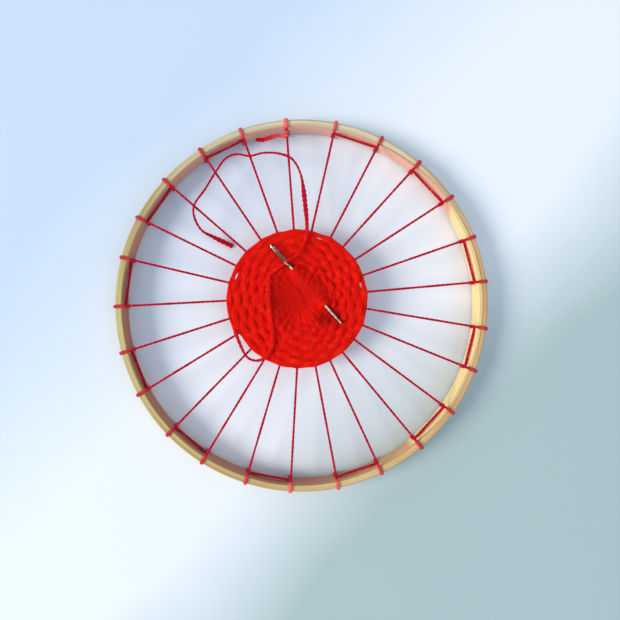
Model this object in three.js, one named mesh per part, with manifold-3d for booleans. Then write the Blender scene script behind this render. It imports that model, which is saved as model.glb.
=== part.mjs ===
// Round weaving frame: a bent wooden hoop with 25 warp spokes of scarlet yarn wound across its front, a disc
// of weaving growing from the middle, and a blunt steel needle parked under the cloth with the working yarn
// still in its eye. The frame lies on its back. Millimetres, +Z towards the viewer, +Y up the front, the
// origin on the table under the middle of the hoop.

import * as THREE from 'three';
import { mergeVertices } from 'three/addons/utils/BufferGeometryUtils.js';
import Module from 'manifold-3d';

// Hoop: a flat strip of wood on edge, bent round
const HOOP_OUTER_RADIUS = 100;
const HOOP_WALL = 3.9;
const HOOP_DEPTH = 12;
const HOOP_EDGE_RADIUS = 0.8;
const HOOP_SEGMENTS = 96;

// Yarn, the same for warp and weft
const YARN_DIAMETER = 1.1;
const YARN_SIDES = 8;
const RIM_YARN_WIDTH = 1.7;
const PRESSED_CORNER = 0.6;
const PRESSED_FLAT = 0.8;
const CLEARANCE = 0.3;

// Warp: where each spoke crosses the rim, in degrees from +X, the point that the spokes run to, and how far
// beside it each one would pass: more than 0 is to the left of the spoke's way out
const SPOKE_ANGLES = [
  7.5, 21.7, 35.9, 50.5, 64.3, 79.2, 94.8, 109.1, 123.0, 137.5, 151.7, 165.0, 180.3,
  194.8, 208.7, 224.0, 237.6, 252.4, 266.6, 281.5, 295.7, 310.3, 324.7, 339.4, 352.9,
];
const SPOKE_ASIDE = [
  0.45, 0.7, 1.25, 1.2, 0, 1.45, 0, -1.0, -0.65, -0.45, -1.0, 0.2, -1.0,
  -1.25, -1.1, 0.35, 1.0, 0.1, 1.0, 2.0, 1.2, -0.35, 0.1, -0.35, 0.65,
];
const START_SPOKE = 6;
const HUB_X = -1.2;
const HUB_Y = 3.6;
const RIM_BAND_OVERHANG = 0.4;
const CHORD_DROP = 4.7;
const CHORD_TURN_RADIUS = 1.4;

// Weft: the loose outer rows, counted from the edge of the dense middle, and how far off the hub they sit
const WEFT_TURNS = 7;
const WEFT_WIDTH = 1.95;
const WEFT_THICKNESS = 0.8;
const WEFT_ROW_GAP = 0.47;
const WEFT_START_ANGLE = 201;
const WEFT_END_ANGLE = 204.5;
const WEFT_OVER_SPOKE = 0.75;
const CLOTH_OFFSET_X = -0.5;
const CLOTH_OFFSET_Y = -0.7;

// Dense middle of the cloth: its radius where the loose rows begin, and the heights of its dished top and
// of its underside, which hangs lower at the hub
const CENTRE_RADIUS = 19;
const CENTRE_RIM_HEIGHT = 1.5;
const CENTRE_DISH_HEIGHT = -1.5;
const CENTRE_RIM_WIDTH = 2;
const CENTRE_EDGE_ROUNDING = 0.7;
const CENTRE_UNDERSIDE = 1.8;
const CENTRE_UNDERSIDE_DROP = 1.4;
const CENTRE_RIB_HEIGHT = 0.2;
const CENTRE_RIB_START = 4;
const CENTRE_RINGS = [4, 8, 11, 14, 16.5];
const SAMPLES_PER_RIB = 4;

// Needle: blunt, with a long eye, seen from its head end; its long axis dips towards the tip
const NEEDLE_LENGTH = 56.4;
const NEEDLE_HEAD_X = -16.7;
const NEEDLE_HEAD_Y = 32.3;
const NEEDLE_HEADING = -47.9;
const NEEDLE_ROLL = 50;
const NEEDLE_SHAFT_DIAMETER = 1.6;
const NEEDLE_HEAD_WIDTH = 2.7;
const NEEDLE_HEAD_THICKNESS = 1.1;
const NEEDLE_NOSE_DIAMETER = 0.5;
const NOSE_WIDTH_SHARE = 0.62;
const EYE_END_WIDTH_SHARE = 0.86;
const NEEDLE_SHOULDER_END = 15.2;
const NEEDLE_TAPER_LENGTH = 7;
const NEEDLE_SIDES = 10;
const EYE_START = 1.8;
const EYE_LENGTH = 12.2;
const EYE_YARN_AT = 12.7;
const EYE_HEIGHT_OVER_ROWS = 1.75;
const TIP_RADIUS = 0.4;
const TIP_FLAT_RADIUS = 0.16;

// Ridge that the needle lifts in the cloth: from mouth to mouth along the needle, narrow at both mouths
const RIDGE_START = 17.1;
const RIDGE_LENGTH = 27.2;
const RIDGE_CLOTH = 0.7;
const RIDGE_MOUTH_FOOT = 2.9;
const RIDGE_MIDDLE_FOOT = 7.5;
const RIDGE_SINK = 0.9;
const RIDGE_LIP = 0.5;
const RIDGE_ROUNDNESS = 1.5;
const RIDGE_STATIONS = 9;
const RIDGE_SAMPLES = 12;

// Knot at the start of the warp: a hitch round its own spoke, then the cut tail, hand-laid as its distance
// aside from the spoke, along the spoke from the middle of the wall, and over the middle of the spokes
const KNOT_PITCH = 1.7;
const KNOT_TURNS = 1.75;
const KNOT_STEPS_PER_TURN = 12;
const KNOT_FROM_WALL = 2.6;
const KNOT_RISE = 2.2;
const TAIL_WIDTH = 2.0;
const TAIL_THICKNESS = 0.8;
const TAIL_ROUTE = [
  [2.5, -7.4, -1.7], [4.9, -6.9, -2.9], [8.7, -6.2, -4.4], [12.7, -5.7, -6.0], [17.0, -5.3, -7.7],
];

// Working yarn, hand-laid: x, y and the height of its middle over the middle of the spokes. It leaves the
// last row, loops out past two spokes, crosses the cloth to the needle's eye, and ends on the table.
const YARN_STEPS_PER_SPAN = 2;
const YARN_ROUTE = [
  [-35.6, -12.4, 0.10], [-35.2, -13.5, 0.45], [-34.4, -16.2, 1.50], [-29.8, -26.3, 1.50],
  [-24.9, -29.3, 1.30], [-19.5, -27.9, 2.45], [-16.5, -23.6, 2.50], [-15.3, -17.2, 2.50],
  [-16.0, -10.3, 2.50], [-16.9, -3.4, 2.50], [-17.6, 3.4, 2.50], [-17.7, 10.3, 2.50],
  [-16.9, 16.4, 2.50], [-12.9, 19.5, 2.50], [-10.0, 21.3, 2.52], [-8.9, 22.2, 2.64],
  [-8.2, 22.9, 3.40], [-7.5, 23.6, 4.16], [-6.4, 24.5, 4.20], [-3.4, 25.9, 3.30],
  [0.5, 31.2, 2.50], [2.6, 37.1, 2.55], [2.9, 43.5, 2.00], [2.4, 50.3, 1.20],
  [0.9, 63.7, 0.80], [-0.5, 70.3, 1.00], [-3.2, 75.9, 1.30], [-6.9, 79.2, 1.50],
  [-13.5, 81.2, 1.10], [-20.7, 81.2, 1.10], [-27.6, 79.5, 1.50], [-34.3, 80.6, 1.10],
  [-40.4, 78.3, 1.00], [-45.7, 70.9, 1.50], [-51.3, 62.0, 1.10], [-56.9, 53.6, 1.65],
  [-57.2, 47.1, -0.30], [-54.0, 40.9, -4.20], [-48.2, 37.8, -8.90], [-38.0, 33.2, -13.30],
];

// Sizes that follow from the ones above
const YARN_RADIUS = YARN_DIAMETER / 2;
const PRESSED_HALF = PRESSED_FLAT * YARN_RADIUS;
const HOOP_INNER_RADIUS = HOOP_OUTER_RADIUS - HOOP_WALL;
const HOOP_MIDDLE_RADIUS = HOOP_OUTER_RADIUS - HOOP_WALL / 2;
const HOOP_BACK_Z = 2 * PRESSED_HALF + CLEARANCE;
const HOOP_FRONT_Z = HOOP_BACK_Z + HOOP_DEPTH;
const WARP_Z = HOOP_FRONT_Z + CLEARANCE + PRESSED_HALF;
const BACK_RUN_Z = PRESSED_HALF;
const WALL_TO_YARN = HOOP_WALL / 2 + CLEARANCE + PRESSED_HALF;
const RIM_CORNER_RADIUS = HOOP_EDGE_RADIUS + CLEARANCE + PRESSED_HALF;
const CHORD_Z = HOOP_FRONT_Z - CHORD_DROP;
const BAND_START = -(HOOP_WALL / 2 + RIM_BAND_OVERHANG);
const WEFT_WAVE = YARN_RADIUS + CLEARANCE + WEFT_THICKNESS / 2;
const WEFT_PITCH = WEFT_WIDTH + WEFT_ROW_GAP;
const WEFT_FIRST_RADIUS = CENTRE_RADIUS + CLEARANCE + WEFT_WIDTH / 2;
const CLOTH_TOP = WEFT_WAVE + WEFT_THICKNESS / 2;
const EYE_Z = WARP_Z + CLOTH_TOP + EYE_HEIGHT_OVER_ROWS;
const TIP_Z = WARP_Z + CLOTH_TOP + CLEARANCE + TIP_RADIUS;

const hub = new THREE.Vector2(HUB_X, HUB_Y);
const up = new THREE.Vector3(0, 0, 1);
const radians = THREE.MathUtils.degToRad;

const wood = new THREE.MeshStandardMaterial({ color: 0xd8bd8c, roughness: 0.6, metalness: 0 });
const yarn = new THREE.MeshStandardMaterial({ color: 0xe01512, roughness: 0.95, metalness: 0 });
const steel = new THREE.MeshStandardMaterial({ color: 0xb9b6b0, roughness: 0.25, metalness: 1 });

const wasm = await Module();
wasm.setup();

const frame = new THREE.Group();

function add(name, geometry, material) {
  const mesh = new THREE.Mesh(geometry, material);
  mesh.name = name;
  frame.add(mesh);
  return mesh;
}

function twoDigits(number) {
  return String(number).padStart(2, '0');
}

// Solids for joining and cutting: points this close are one, and cuts leave no edge shorter than this
const SAME_POINT = 1e-4;
const SHORTEST_EDGE = 0.005;

function toSolid(geometry) {
  const bare = geometry.clone();
  bare.deleteAttribute('normal');
  bare.deleteAttribute('uv');
  const merged = mergeVertices(bare, SAME_POINT);
  return new wasm.Manifold(new wasm.Mesh({
    numProp: 3,
    vertProperties: new Float32Array(merged.attributes.position.array),
    triVerts: new Uint32Array(merged.index.array),
  }));
}

function toGeometry(solid) {
  const mesh = solid.getMesh();
  const geometry = new THREE.BufferGeometry();
  geometry.setAttribute('position', new THREE.BufferAttribute(new Float32Array(mesh.vertProperties), 3));
  geometry.setIndex(new THREE.BufferAttribute(new Uint32Array(mesh.triVerts), 1));
  geometry.computeVertexNormals();
  return geometry;
}

// A closed tube through rings of points, each ring counted anticlockwise about the way the tube runs
function skin(rings) {
  const sides = rings[0].length;
  const last = rings.length - 1;
  const positions = rings.flat().flatMap((point) => [point.x, point.y, point.z]);
  const triangles = [];
  for (let i = 0; i < last; i += 1) {
    for (let j = 0; j < sides; j += 1) {
      const a = i * sides + j;
      const b = i * sides + ((j + 1) % sides);
      triangles.push(a, b, b + sides, a, b + sides, a + sides);
    }
  }
  for (let j = 1; j < sides - 1; j += 1) {
    triangles.push(0, j + 1, j);
    triangles.push(last * sides, last * sides + j, last * sides + j + 1);
  }
  const geometry = new THREE.BufferGeometry();
  geometry.setAttribute('position', new THREE.Float32BufferAttribute(positions, 3));
  geometry.setIndex(triangles);
  geometry.computeVertexNormals();
  return geometry;
}

// Yarn pressed against what it lies on: six corners, flat on both broad sides
const PRESSED_SECTION = [
  [1, 0], [PRESSED_CORNER, PRESSED_FLAT], [-PRESSED_CORNER, PRESSED_FLAT],
  [-1, 0], [-PRESSED_CORNER, -PRESSED_FLAT], [PRESSED_CORNER, -PRESSED_FLAT],
];

// The rings of a pressed yarn; each stop has its place, the way its broad side faces, and its half sizes
function yarnRings(stops) {
  return stops.map((stop, i) => {
    const before = stops[Math.max(i - 1, 0)].at;
    const after = stops[Math.min(i + 1, stops.length - 1)].at;
    const along = after.clone().sub(before).normalize();
    const across = stop.face.clone().cross(along).normalize();
    const out = along.clone().cross(across);
    return PRESSED_SECTION.map(([x, y]) => stop.at.clone()
      .addScaledVector(across, x * stop.halfWidth)
      .addScaledVector(out, y * stop.halfThick));
  });
}

// Least gap of a tube to itself, measured between points along its edges that lie apart on its length
function leastGapToItself(rings, apart) {
  const rows = [];
  rings.forEach((ring, i) => {
    const next = rings[Math.min(i + 1, rings.length - 1)];
    for (const t of [0, 0.25, 0.5, 0.75]) {
      rows.push(ring.map((point, j) => point.clone().lerp(next[j], t)));
    }
  });
  const length = [0];
  rows.forEach((row, i) => {
    if (i > 0) {
      length.push(length[i - 1] + row[0].distanceTo(rows[i - 1][0]));
    }
  });
  let least = Infinity;
  for (let i = 0; i < rows.length; i += 1) {
    for (let j = i + 1; j < rows.length; j += 1) {
      if (length[j] - length[i] < apart) {
        continue;
      }
      for (const p of rows[i]) {
        for (const q of rows[j]) {
          least = Math.min(least, p.distanceToSquared(q));
        }
      }
    }
  }
  return Math.sqrt(least);
}

function printLeastGap(name, rings, apart) {
  console.log(`${name}: least gap to itself ${leastGapToItself(rings, apart).toFixed(2)} mm`);
}

// Hoop: a section with softened edges, turned round the middle
function hoopGeometry() {
  const soften = HOOP_EDGE_RADIUS * (1 - Math.SQRT1_2);
  const corner = (x, z, toX, toZ) => [
    new THREE.Vector2(x + toX * HOOP_EDGE_RADIUS, z),
    new THREE.Vector2(x + toX * soften, z + toZ * soften),
    new THREE.Vector2(x, z + toZ * HOOP_EDGE_RADIUS),
  ];
  const profile = [
    ...corner(HOOP_OUTER_RADIUS, HOOP_BACK_Z, -1, 1),
    ...corner(HOOP_OUTER_RADIUS, HOOP_FRONT_Z, -1, -1).reverse(),
    ...corner(HOOP_INNER_RADIUS, HOOP_FRONT_Z, 1, -1),
    ...corner(HOOP_INNER_RADIUS, HOOP_BACK_Z, 1, 1).reverse(),
  ];
  profile.push(profile[0].clone());
  return new THREE.LatheGeometry(profile, HOOP_SEGMENTS).rotateX(Math.PI / 2);
}

// Spokes: each has the point where it crosses the middle of the wall and its direction outwards
const spokes = SPOKE_ANGLES.map((degrees, i) => {
  const angle = radians(degrees);
  const rim = new THREE.Vector2(Math.cos(angle), Math.sin(angle)).multiplyScalar(HOOP_MIDDLE_RADIUS);
  const fromHub = rim.clone().sub(hub).normalize();
  const besideHub = new THREE.Vector2(-fromHub.y, fromHub.x).multiplyScalar(SPOKE_ASIDE[i]).add(hub);
  return { rim, out: rim.clone().sub(besideHub).normalize() };
});

// Where a spoke is at a distance from the hub: how far along it, and its direction as seen from the hub
function spokeAt(spoke, radius) {
  const toHub = hub.clone().sub(spoke.rim);
  const nearest = toHub.dot(spoke.out);
  const along = nearest + Math.sqrt(radius * radius + nearest * nearest - toHub.lengthSq());
  const fromHub = spoke.out.clone().multiplyScalar(along).sub(toHub);
  return { along, heading: THREE.MathUtils.euclideanModulo(fromHub.angle(), 2 * Math.PI) };
}

// A place on the vertical plane of a spoke: along it from the middle of the wall, and up
function onSpoke(spoke, along, z) {
  return new THREE.Vector3(spoke.rim.x + spoke.out.x * along, spoke.rim.y + spoke.out.y * along, z);
}

function awayOnSpoke(spoke, along, z) {
  return new THREE.Vector3(spoke.out.x * along, spoke.out.y * along, z);
}

// Radius of the cloth about the hub: the cloth sits a little off the hub
function clothRadius(radius, heading) {
  return radius + CLOTH_OFFSET_X * Math.cos(heading) + CLOTH_OFFSET_Y * Math.sin(heading);
}

// Edge of the dense middle about the hub: it runs out with the first loose row, which lies against it all
// round, and steps back where that row begins
const weftStart = radians(WEFT_START_ANGLE);
const edgeStep = weftStart - 2 * CLEARANCE / CENTRE_RADIUS;

function centreEdge(heading) {
  const round = THREE.MathUtils.euclideanModulo(heading - edgeStep, 2 * Math.PI) / (2 * Math.PI);
  return clothRadius(CENTRE_RADIUS + WEFT_PITCH * round, heading);
}

// Loose yarn, round, along a curve
function looseYarn(curve, steps) {
  const section = new THREE.Shape();
  section.absarc(0, 0, YARN_RADIUS, 0, 2 * Math.PI);
  return new THREE.ExtrudeGeometry(section, {
    steps, extrudePath: curve, curveSegments: YARN_SIDES / 2, bevelEnabled: false,
  });
}

function spokeGeometry(spoke) {
  const edge = centreEdge(spokeAt(spoke, CENTRE_RADIUS).heading);
  const start = onSpoke(spoke, spokeAt(spoke, edge + CLEARANCE).along, WARP_Z);
  return looseYarn(new THREE.LineCurve3(start, onSpoke(spoke, BAND_START - CLEARANCE, WARP_Z)), 1);
}

// One turn round the rim at a spoke, from the front of the hoop to the inside wall
const CORNER_STEPS = 3;

function rimTurnStops(spoke) {
  const stops = [];
  const add = (along, z, faceAlong, faceZ, halfWidth = RIM_YARN_WIDTH / 2) => stops.push({
    at: onSpoke(spoke, along, z),
    face: awayOnSpoke(spoke, faceAlong, faceZ),
    halfWidth,
    halfThick: YARN_RADIUS,
  });
  const corner = (along, z, from) => {
    for (let i = 0; i <= CORNER_STEPS; i += 1) {
      const angle = from - (i / CORNER_STEPS) * Math.PI / 2;
      const c = Math.cos(angle);
      const s = Math.sin(angle);
      add(along + RIM_CORNER_RADIUS * c, z + RIM_CORNER_RADIUS * s, c, s);
    }
  };
  const inset = WALL_TO_YARN - RIM_CORNER_RADIUS;
  add(BAND_START, WARP_Z, 0, 1, YARN_RADIUS);
  add(BAND_START + RIM_YARN_WIDTH / 2, WARP_Z, 0, 1);
  corner(inset, WARP_Z - RIM_CORNER_RADIUS, Math.PI / 2);
  corner(inset, BACK_RUN_Z + RIM_CORNER_RADIUS, 0);
  corner(-inset, BACK_RUN_Z + RIM_CORNER_RADIUS, -Math.PI / 2);
  return stops;
}

// The bend from going up the inside wall to running along it, towards another place on the wall
function turnAlongWall(spoke, towards, halfWidth) {
  const stops = [];
  const foot = onSpoke(spoke, -WALL_TO_YARN, 0);
  const run = towards.clone().sub(foot).setZ(0).normalize();
  const inward = up.clone().cross(run);
  if (inward.dot(awayOnSpoke(spoke, 1, 0)) > 0) {
    inward.negate();
  }
  for (let i = 0; i <= CORNER_STEPS; i += 1) {
    const angle = (i / CORNER_STEPS) * Math.PI / 2;
    stops.push({
      at: foot.clone()
        .addScaledVector(run, CHORD_TURN_RADIUS * (1 - Math.cos(angle)))
        .setZ(CHORD_Z - CHORD_TURN_RADIUS * (1 - Math.sin(angle))),
      face: inward,
      halfWidth,
      halfThick: YARN_RADIUS,
    });
  }
  return stops;
}

// Two neighbouring turns and the run along the inside wall that joins them
function rimTurnPairRings(first, second) {
  const firstFoot = onSpoke(first, -WALL_TO_YARN, 0);
  const secondFoot = onSpoke(second, -WALL_TO_YARN, 0);
  const half = RIM_YARN_WIDTH / 2;
  return yarnRings([
    ...rimTurnStops(first),
    ...turnAlongWall(first, secondFoot, half),
    ...turnAlongWall(second, firstFoot, half).reverse(),
    ...rimTurnStops(second).reverse(),
  ]);
}

// The first turn, the hitch round its own spoke, and the cut tail beside the inside wall
function startKnotRings(spoke) {
  const stops = rimTurnStops(spoke);
  const round = { halfWidth: YARN_RADIUS, halfThick: YARN_RADIUS };
  const aside = up.clone().cross(awayOnSpoke(spoke, 1, 0));
  const hitchRadius = YARN_DIAMETER + CLEARANCE;
  const hitchStart = -(HOOP_WALL / 2 + KNOT_FROM_WALL);
  stops.push({
    at: onSpoke(spoke, -WALL_TO_YARN, WARP_Z - hitchRadius - KNOT_RISE),
    face: awayOnSpoke(spoke, -1, 0),
    ...round,
  });
  const steps = Math.round(KNOT_TURNS * KNOT_STEPS_PER_TURN);
  for (let i = 0; i <= steps; i += 1) {
    const turns = i / KNOT_STEPS_PER_TURN;
    const angle = turns * 2 * Math.PI;
    const radial = up.clone().multiplyScalar(-Math.cos(angle)).addScaledVector(aside, -Math.sin(angle));
    stops.push({
      at: onSpoke(spoke, hitchStart - turns * KNOT_PITCH, WARP_Z).addScaledVector(radial, hitchRadius),
      face: radial,
      ...round,
    });
  }
  TAIL_ROUTE.forEach(([left, along, over], i) => {
    const spread = Math.sin(Math.PI * (i + 1) / (TAIL_ROUTE.length + 1));
    stops.push({
      at: onSpoke(spoke, along, WARP_Z + over).addScaledVector(aside, left),
      face: i === 0 ? up.clone().add(aside) : up,
      halfWidth: THREE.MathUtils.lerp(YARN_RADIUS, TAIL_WIDTH / 2, spread),
      halfThick: THREE.MathUtils.lerp(YARN_RADIUS, TAIL_THICKNESS / 2, spread),
    });
  });
  return yarnRings(stops);
}

// The route's steps follow its points, not its length, so that the short spans in the eye get short steps
class RouteCurve extends THREE.CatmullRomCurve3 {
  getPointAt(u) {
    return this.getPoint(u);
  }

  getTangentAt(u) {
    return this.getTangent(u);
  }
}

function workingYarnGeometry() {
  const points = YARN_ROUTE.map(([x, y, over]) => new THREE.Vector3(x, y, WARP_Z + over));
  return looseYarn(new RouteCurve(points), YARN_STEPS_PER_SPAN * (points.length - 1));
}

// Directions of the spokes at the edge of the dense middle, as seen from the hub, in order round it
const headings = spokes.map((spoke) => spokeAt(spoke, CENTRE_RADIUS).heading).sort((a, b) => a - b);

// Weft: over one spoke and under the next; the odd number of spokes makes each row cross the last one's way
function weftRings() {
  const end = radians(WEFT_END_ANGLE) + 2 * Math.PI * WEFT_TURNS;
  const rowRadius = (angle) => WEFT_FIRST_RADIUS + WEFT_PITCH * (angle - weftStart) / (2 * Math.PI);
  const crossings = [];
  for (let turn = 0; turn <= WEFT_TURNS; turn += 1) {
    for (const spoke of spokes) {
      const near = spokeAt(spoke, CENTRE_RADIUS).heading + 2 * Math.PI * turn;
      const angle = spokeAt(spoke, clothRadius(rowRadius(near), near)).heading + 2 * Math.PI * turn;
      if (angle > weftStart && angle < end) {
        crossings.push(angle);
      }
    }
  }
  crossings.sort((a, b) => a - b);
  const place = (angle, height) => {
    const radius = clothRadius(rowRadius(angle), angle);
    return new THREE.Vector3(
      HUB_X + radius * Math.cos(angle),
      HUB_Y + radius * Math.sin(angle),
      WARP_Z + height,
    );
  };
  const stops = [place(weftStart, 0)];
  crossings.forEach((angle, i) => {
    const way = (crossings.length - i) % 2 === 0 ? 1 : -1;
    const half = WEFT_OVER_SPOKE / rowRadius(angle);
    stops.push(place(angle - half, way * WEFT_WAVE), place(angle + half, way * WEFT_WAVE));
  });
  stops.push(place(end, 0));
  return yarnRings(stops.map((at) => ({
    at,
    face: up,
    halfWidth: WEFT_WIDTH / 2,
    halfThick: WEFT_THICKNESS / 2 / PRESSED_FLAT,
  })));
}

// Needle: its own axes, with x along it from the head, y across the eye and z through the eye
const needleHeading = radians(NEEDLE_HEADING);
const needleDip = Math.asin((EYE_Z - TIP_Z) / (NEEDLE_LENGTH - EYE_YARN_AT));
const needleAlong = new THREE.Vector3(
  Math.cos(needleHeading) * Math.cos(needleDip),
  Math.sin(needleHeading) * Math.cos(needleDip),
  -Math.sin(needleDip),
);
const needleLevel = up.clone().cross(needleAlong).normalize();
const needleUp = needleAlong.clone().cross(needleLevel);
const headZ = EYE_Z + EYE_YARN_AT * Math.sin(needleDip);
const needleAxes = new THREE.Matrix4()
  .makeBasis(needleAlong, needleLevel, needleUp)
  .setPosition(NEEDLE_HEAD_X, NEEDLE_HEAD_Y, headZ);

function needleGeometry() {
  const shaft = NEEDLE_SHAFT_DIAMETER / 2;
  const wide = NEEDLE_HEAD_WIDTH / 2;
  const thick = NEEDLE_HEAD_THICKNESS / 2;
  const nose = NEEDLE_NOSE_DIAMETER / 2;
  const eyeEnd = EYE_START + EYE_LENGTH;
  const taper = NEEDLE_LENGTH - NEEDLE_TAPER_LENGTH;
  const stations = [
    [0, nose, nose / 2],
    [EYE_START / 3, wide * NOSE_WIDTH_SHARE, (nose + thick) / 2],
    [EYE_START, wide * EYE_END_WIDTH_SHARE, thick],
    [EYE_START + EYE_LENGTH / 4, wide, thick],
    [eyeEnd - EYE_LENGTH / 5, wide, thick],
    [eyeEnd, wide * EYE_END_WIDTH_SHARE, thick],
    [NEEDLE_SHOULDER_END, shaft, shaft],
    [taper, shaft, shaft],
    [NEEDLE_LENGTH - NEEDLE_TAPER_LENGTH / 3, (shaft + TIP_RADIUS) / 2, (shaft + TIP_RADIUS) / 2],
    [NEEDLE_LENGTH - TIP_FLAT_RADIUS, TIP_RADIUS, TIP_RADIUS],
    [NEEDLE_LENGTH, TIP_FLAT_RADIUS, TIP_FLAT_RADIUS],
  ];
  const blank = skin(stations.map(([along, halfWidth, halfThick]) => (
    Array.from({ length: NEEDLE_SIDES }, (_, i) => {
      const angle = (i + 0.5) / NEEDLE_SIDES * 2 * Math.PI;
      return new THREE.Vector3(along, halfWidth * Math.cos(angle), halfThick * Math.sin(angle));
    })
  )));
  const half = YARN_RADIUS + CLEARANCE;
  const slot = new THREE.Shape();
  slot.absarc(EYE_START + half, 0, half, Math.PI / 2, 1.5 * Math.PI);
  slot.absarc(EYE_START + EYE_LENGTH - half, 0, half, -Math.PI / 2, Math.PI / 2);
  const cutter = new THREE.ExtrudeGeometry(slot, {
    depth: 2 * NEEDLE_SHAFT_DIAMETER, curveSegments: 4, bevelEnabled: false,
  }).translate(0, 0, -NEEDLE_SHAFT_DIAMETER);
  const rolled = toGeometry(toSolid(blank).subtract(toSolid(cutter)));
  return rolled.rotateX(radians(-NEEDLE_ROLL));
}

// Middle of the cloth: a dished disc ribbed by the spokes inside it, with the fold over the needle
function smooth(t) {
  const clamped = THREE.MathUtils.clamp(t, 0, 1);
  return clamped * clamped * (3 - 2 * clamped);
}

function centreTop(radius, phase) {
  const climb = Math.min(1, radius / (CENTRE_RADIUS - CENTRE_RIM_WIDTH));
  const rib = (Math.cos(2 * Math.PI * phase) - 1) * smooth(radius / CENTRE_RIB_START);
  return CENTRE_DISH_HEIGHT + (CENTRE_RIM_HEIGHT - CENTRE_DISH_HEIGHT) * climb + CENTRE_RIB_HEIGHT * rib;
}

// Rays from the hub: some on each rib and between, and two close together where the edge steps back
function centreRays() {
  const rays = [];
  headings.forEach((heading, i) => {
    const next = i + 1 < headings.length ? headings[i + 1] : headings[0] + 2 * Math.PI;
    for (let j = 0; j < SAMPLES_PER_RIB; j += 1) {
      const phase = j / SAMPLES_PER_RIB;
      rays.push({ angle: heading + phase * (next - heading), phase });
    }
  });
  const halfStep = CLEARANCE / CENTRE_RADIUS / 2;
  rays.push({ angle: edgeStep - halfStep, phase: 0.5 }, { angle: edgeStep + halfStep, phase: 0.5 });
  return rays.sort((a, b) => a.angle - b.angle);
}

function centreDiscGeometry() {
  const rays = centreRays();
  const positions = [HUB_X, HUB_Y, WARP_Z + centreTop(0, 0)];
  const ring = (radius, height) => rays.forEach(({ angle, phase }) => {
    const share = radius / CENTRE_RADIUS;
    const reach = radius + (centreEdge(angle) - CENTRE_RADIUS) * share * share;
    positions.push(
      HUB_X + reach * Math.cos(angle),
      HUB_Y + reach * Math.sin(angle),
      WARP_Z + height(phase),
    );
  });
  const shoulder = CENTRE_RADIUS - CENTRE_EDGE_ROUNDING;
  for (const radius of [...CENTRE_RINGS, shoulder]) {
    ring(radius, (phase) => centreTop(radius, phase));
  }
  ring(CENTRE_RADIUS, (phase) => centreTop(CENTRE_RADIUS, phase) - CENTRE_EDGE_ROUNDING);
  ring(CENTRE_RADIUS, () => -CENTRE_UNDERSIDE + CENTRE_EDGE_ROUNDING);
  ring(shoulder, () => -CENTRE_UNDERSIDE);
  positions.push(HUB_X, HUB_Y, WARP_Z - CENTRE_UNDERSIDE - CENTRE_UNDERSIDE_DROP);
  const count = rays.length;
  const rings = CENTRE_RINGS.length + 4;
  const bottom = 1 + rings * count;
  const triangles = [];
  for (let j = 0; j < count; j += 1) {
    const next = (j + 1) % count;
    triangles.push(0, 1 + j, 1 + next);
    for (let i = 0; i + 1 < rings; i += 1) {
      const a = 1 + i * count + j;
      const b = 1 + i * count + next;
      triangles.push(a, a + count, b + count, a, b + count, b);
    }
    triangles.push(bottom, bottom - count + next, bottom - count + j);
  }
  const geometry = new THREE.BufferGeometry();
  geometry.setAttribute('position', new THREE.Float32BufferAttribute(positions, 3));
  geometry.setIndex(triangles);
  return geometry;
}

// The ridge over the needle, in the needle's own axes: a bell section that is widest half way along
const TUNNEL_RADIUS = NEEDLE_SHAFT_DIAMETER / 2 + CLEARANCE;

function ridgeGeometry() {
  const foot = -(CLOTH_TOP + EYE_HEIGHT_OVER_ROWS + RIDGE_SINK);
  const crest = TUNNEL_RADIUS + RIDGE_CLOTH;
  const rings = Array.from({ length: RIDGE_STATIONS }, (_, i) => {
    const t = i / (RIDGE_STATIONS - 1);
    const bulge = Math.sin(Math.PI * t) ** 2;
    const half = THREE.MathUtils.lerp(RIDGE_MOUTH_FOOT, RIDGE_MIDDLE_FOOT, bulge);
    const lip = i === 0 || i === RIDGE_STATIONS - 1 ? RIDGE_LIP : 0;
    return Array.from({ length: RIDGE_SAMPLES + 1 }, (_unused, j) => {
      const across = 1 - 2 * j / RIDGE_SAMPLES;
      const height = foot + (crest - foot - lip) * Math.cos(across * Math.PI / 2) ** RIDGE_ROUNDNESS;
      const narrow = Math.sign(across) * Math.abs(across) ** (1 + bulge);
      return new THREE.Vector3(RIDGE_START + t * RIDGE_LENGTH, half * narrow, height);
    });
  });
  return skin(rings);
}

function tunnelGeometry() {
  const tunnel = new THREE.CylinderGeometry(TUNNEL_RADIUS, TUNNEL_RADIUS, 2 * RIDGE_LENGTH, NEEDLE_SIDES);
  return tunnel
    .rotateY(Math.PI / NEEDLE_SIDES)
    .rotateZ(Math.PI / 2)
    .translate(RIDGE_START + RIDGE_LENGTH / 2, 0, 0);
}

function centreGeometry() {
  const ridge = toSolid(ridgeGeometry().applyMatrix4(needleAxes));
  const tunnel = toSolid(tunnelGeometry().applyMatrix4(needleAxes));
  return toGeometry(toSolid(centreDiscGeometry()).add(ridge).subtract(tunnel).simplify(SHORTEST_EDGE));
}

add('hoop', hoopGeometry(), wood);

spokes.forEach((spoke, i) => add(`warp_spoke_${twoDigits(i + 1)}`, spokeGeometry(spoke), yarn));

const pairs = Math.floor(spokes.length / 2);
for (let i = 0; i < pairs; i += 1) {
  const first = spokes[(START_SPOKE + 1 + 2 * i) % spokes.length];
  const second = spokes[(START_SPOKE + 2 + 2 * i) % spokes.length];
  const rings = rimTurnPairRings(first, second);
  add(`rim_turn_${twoDigits(i + 1)}`, skin(rings), yarn);
  printLeastGap(`rim_turn_${twoDigits(i + 1)}`, rings, HOOP_WALL);
}

const knot = startKnotRings(spokes[START_SPOKE]);
add('start_knot', skin(knot), yarn);
printLeastGap('start_knot', knot, HOOP_WALL);

const weft = weftRings();
add('weft_spiral', skin(weft), yarn);
printLeastGap('weft_spiral', weft, CENTRE_RADIUS);

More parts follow.
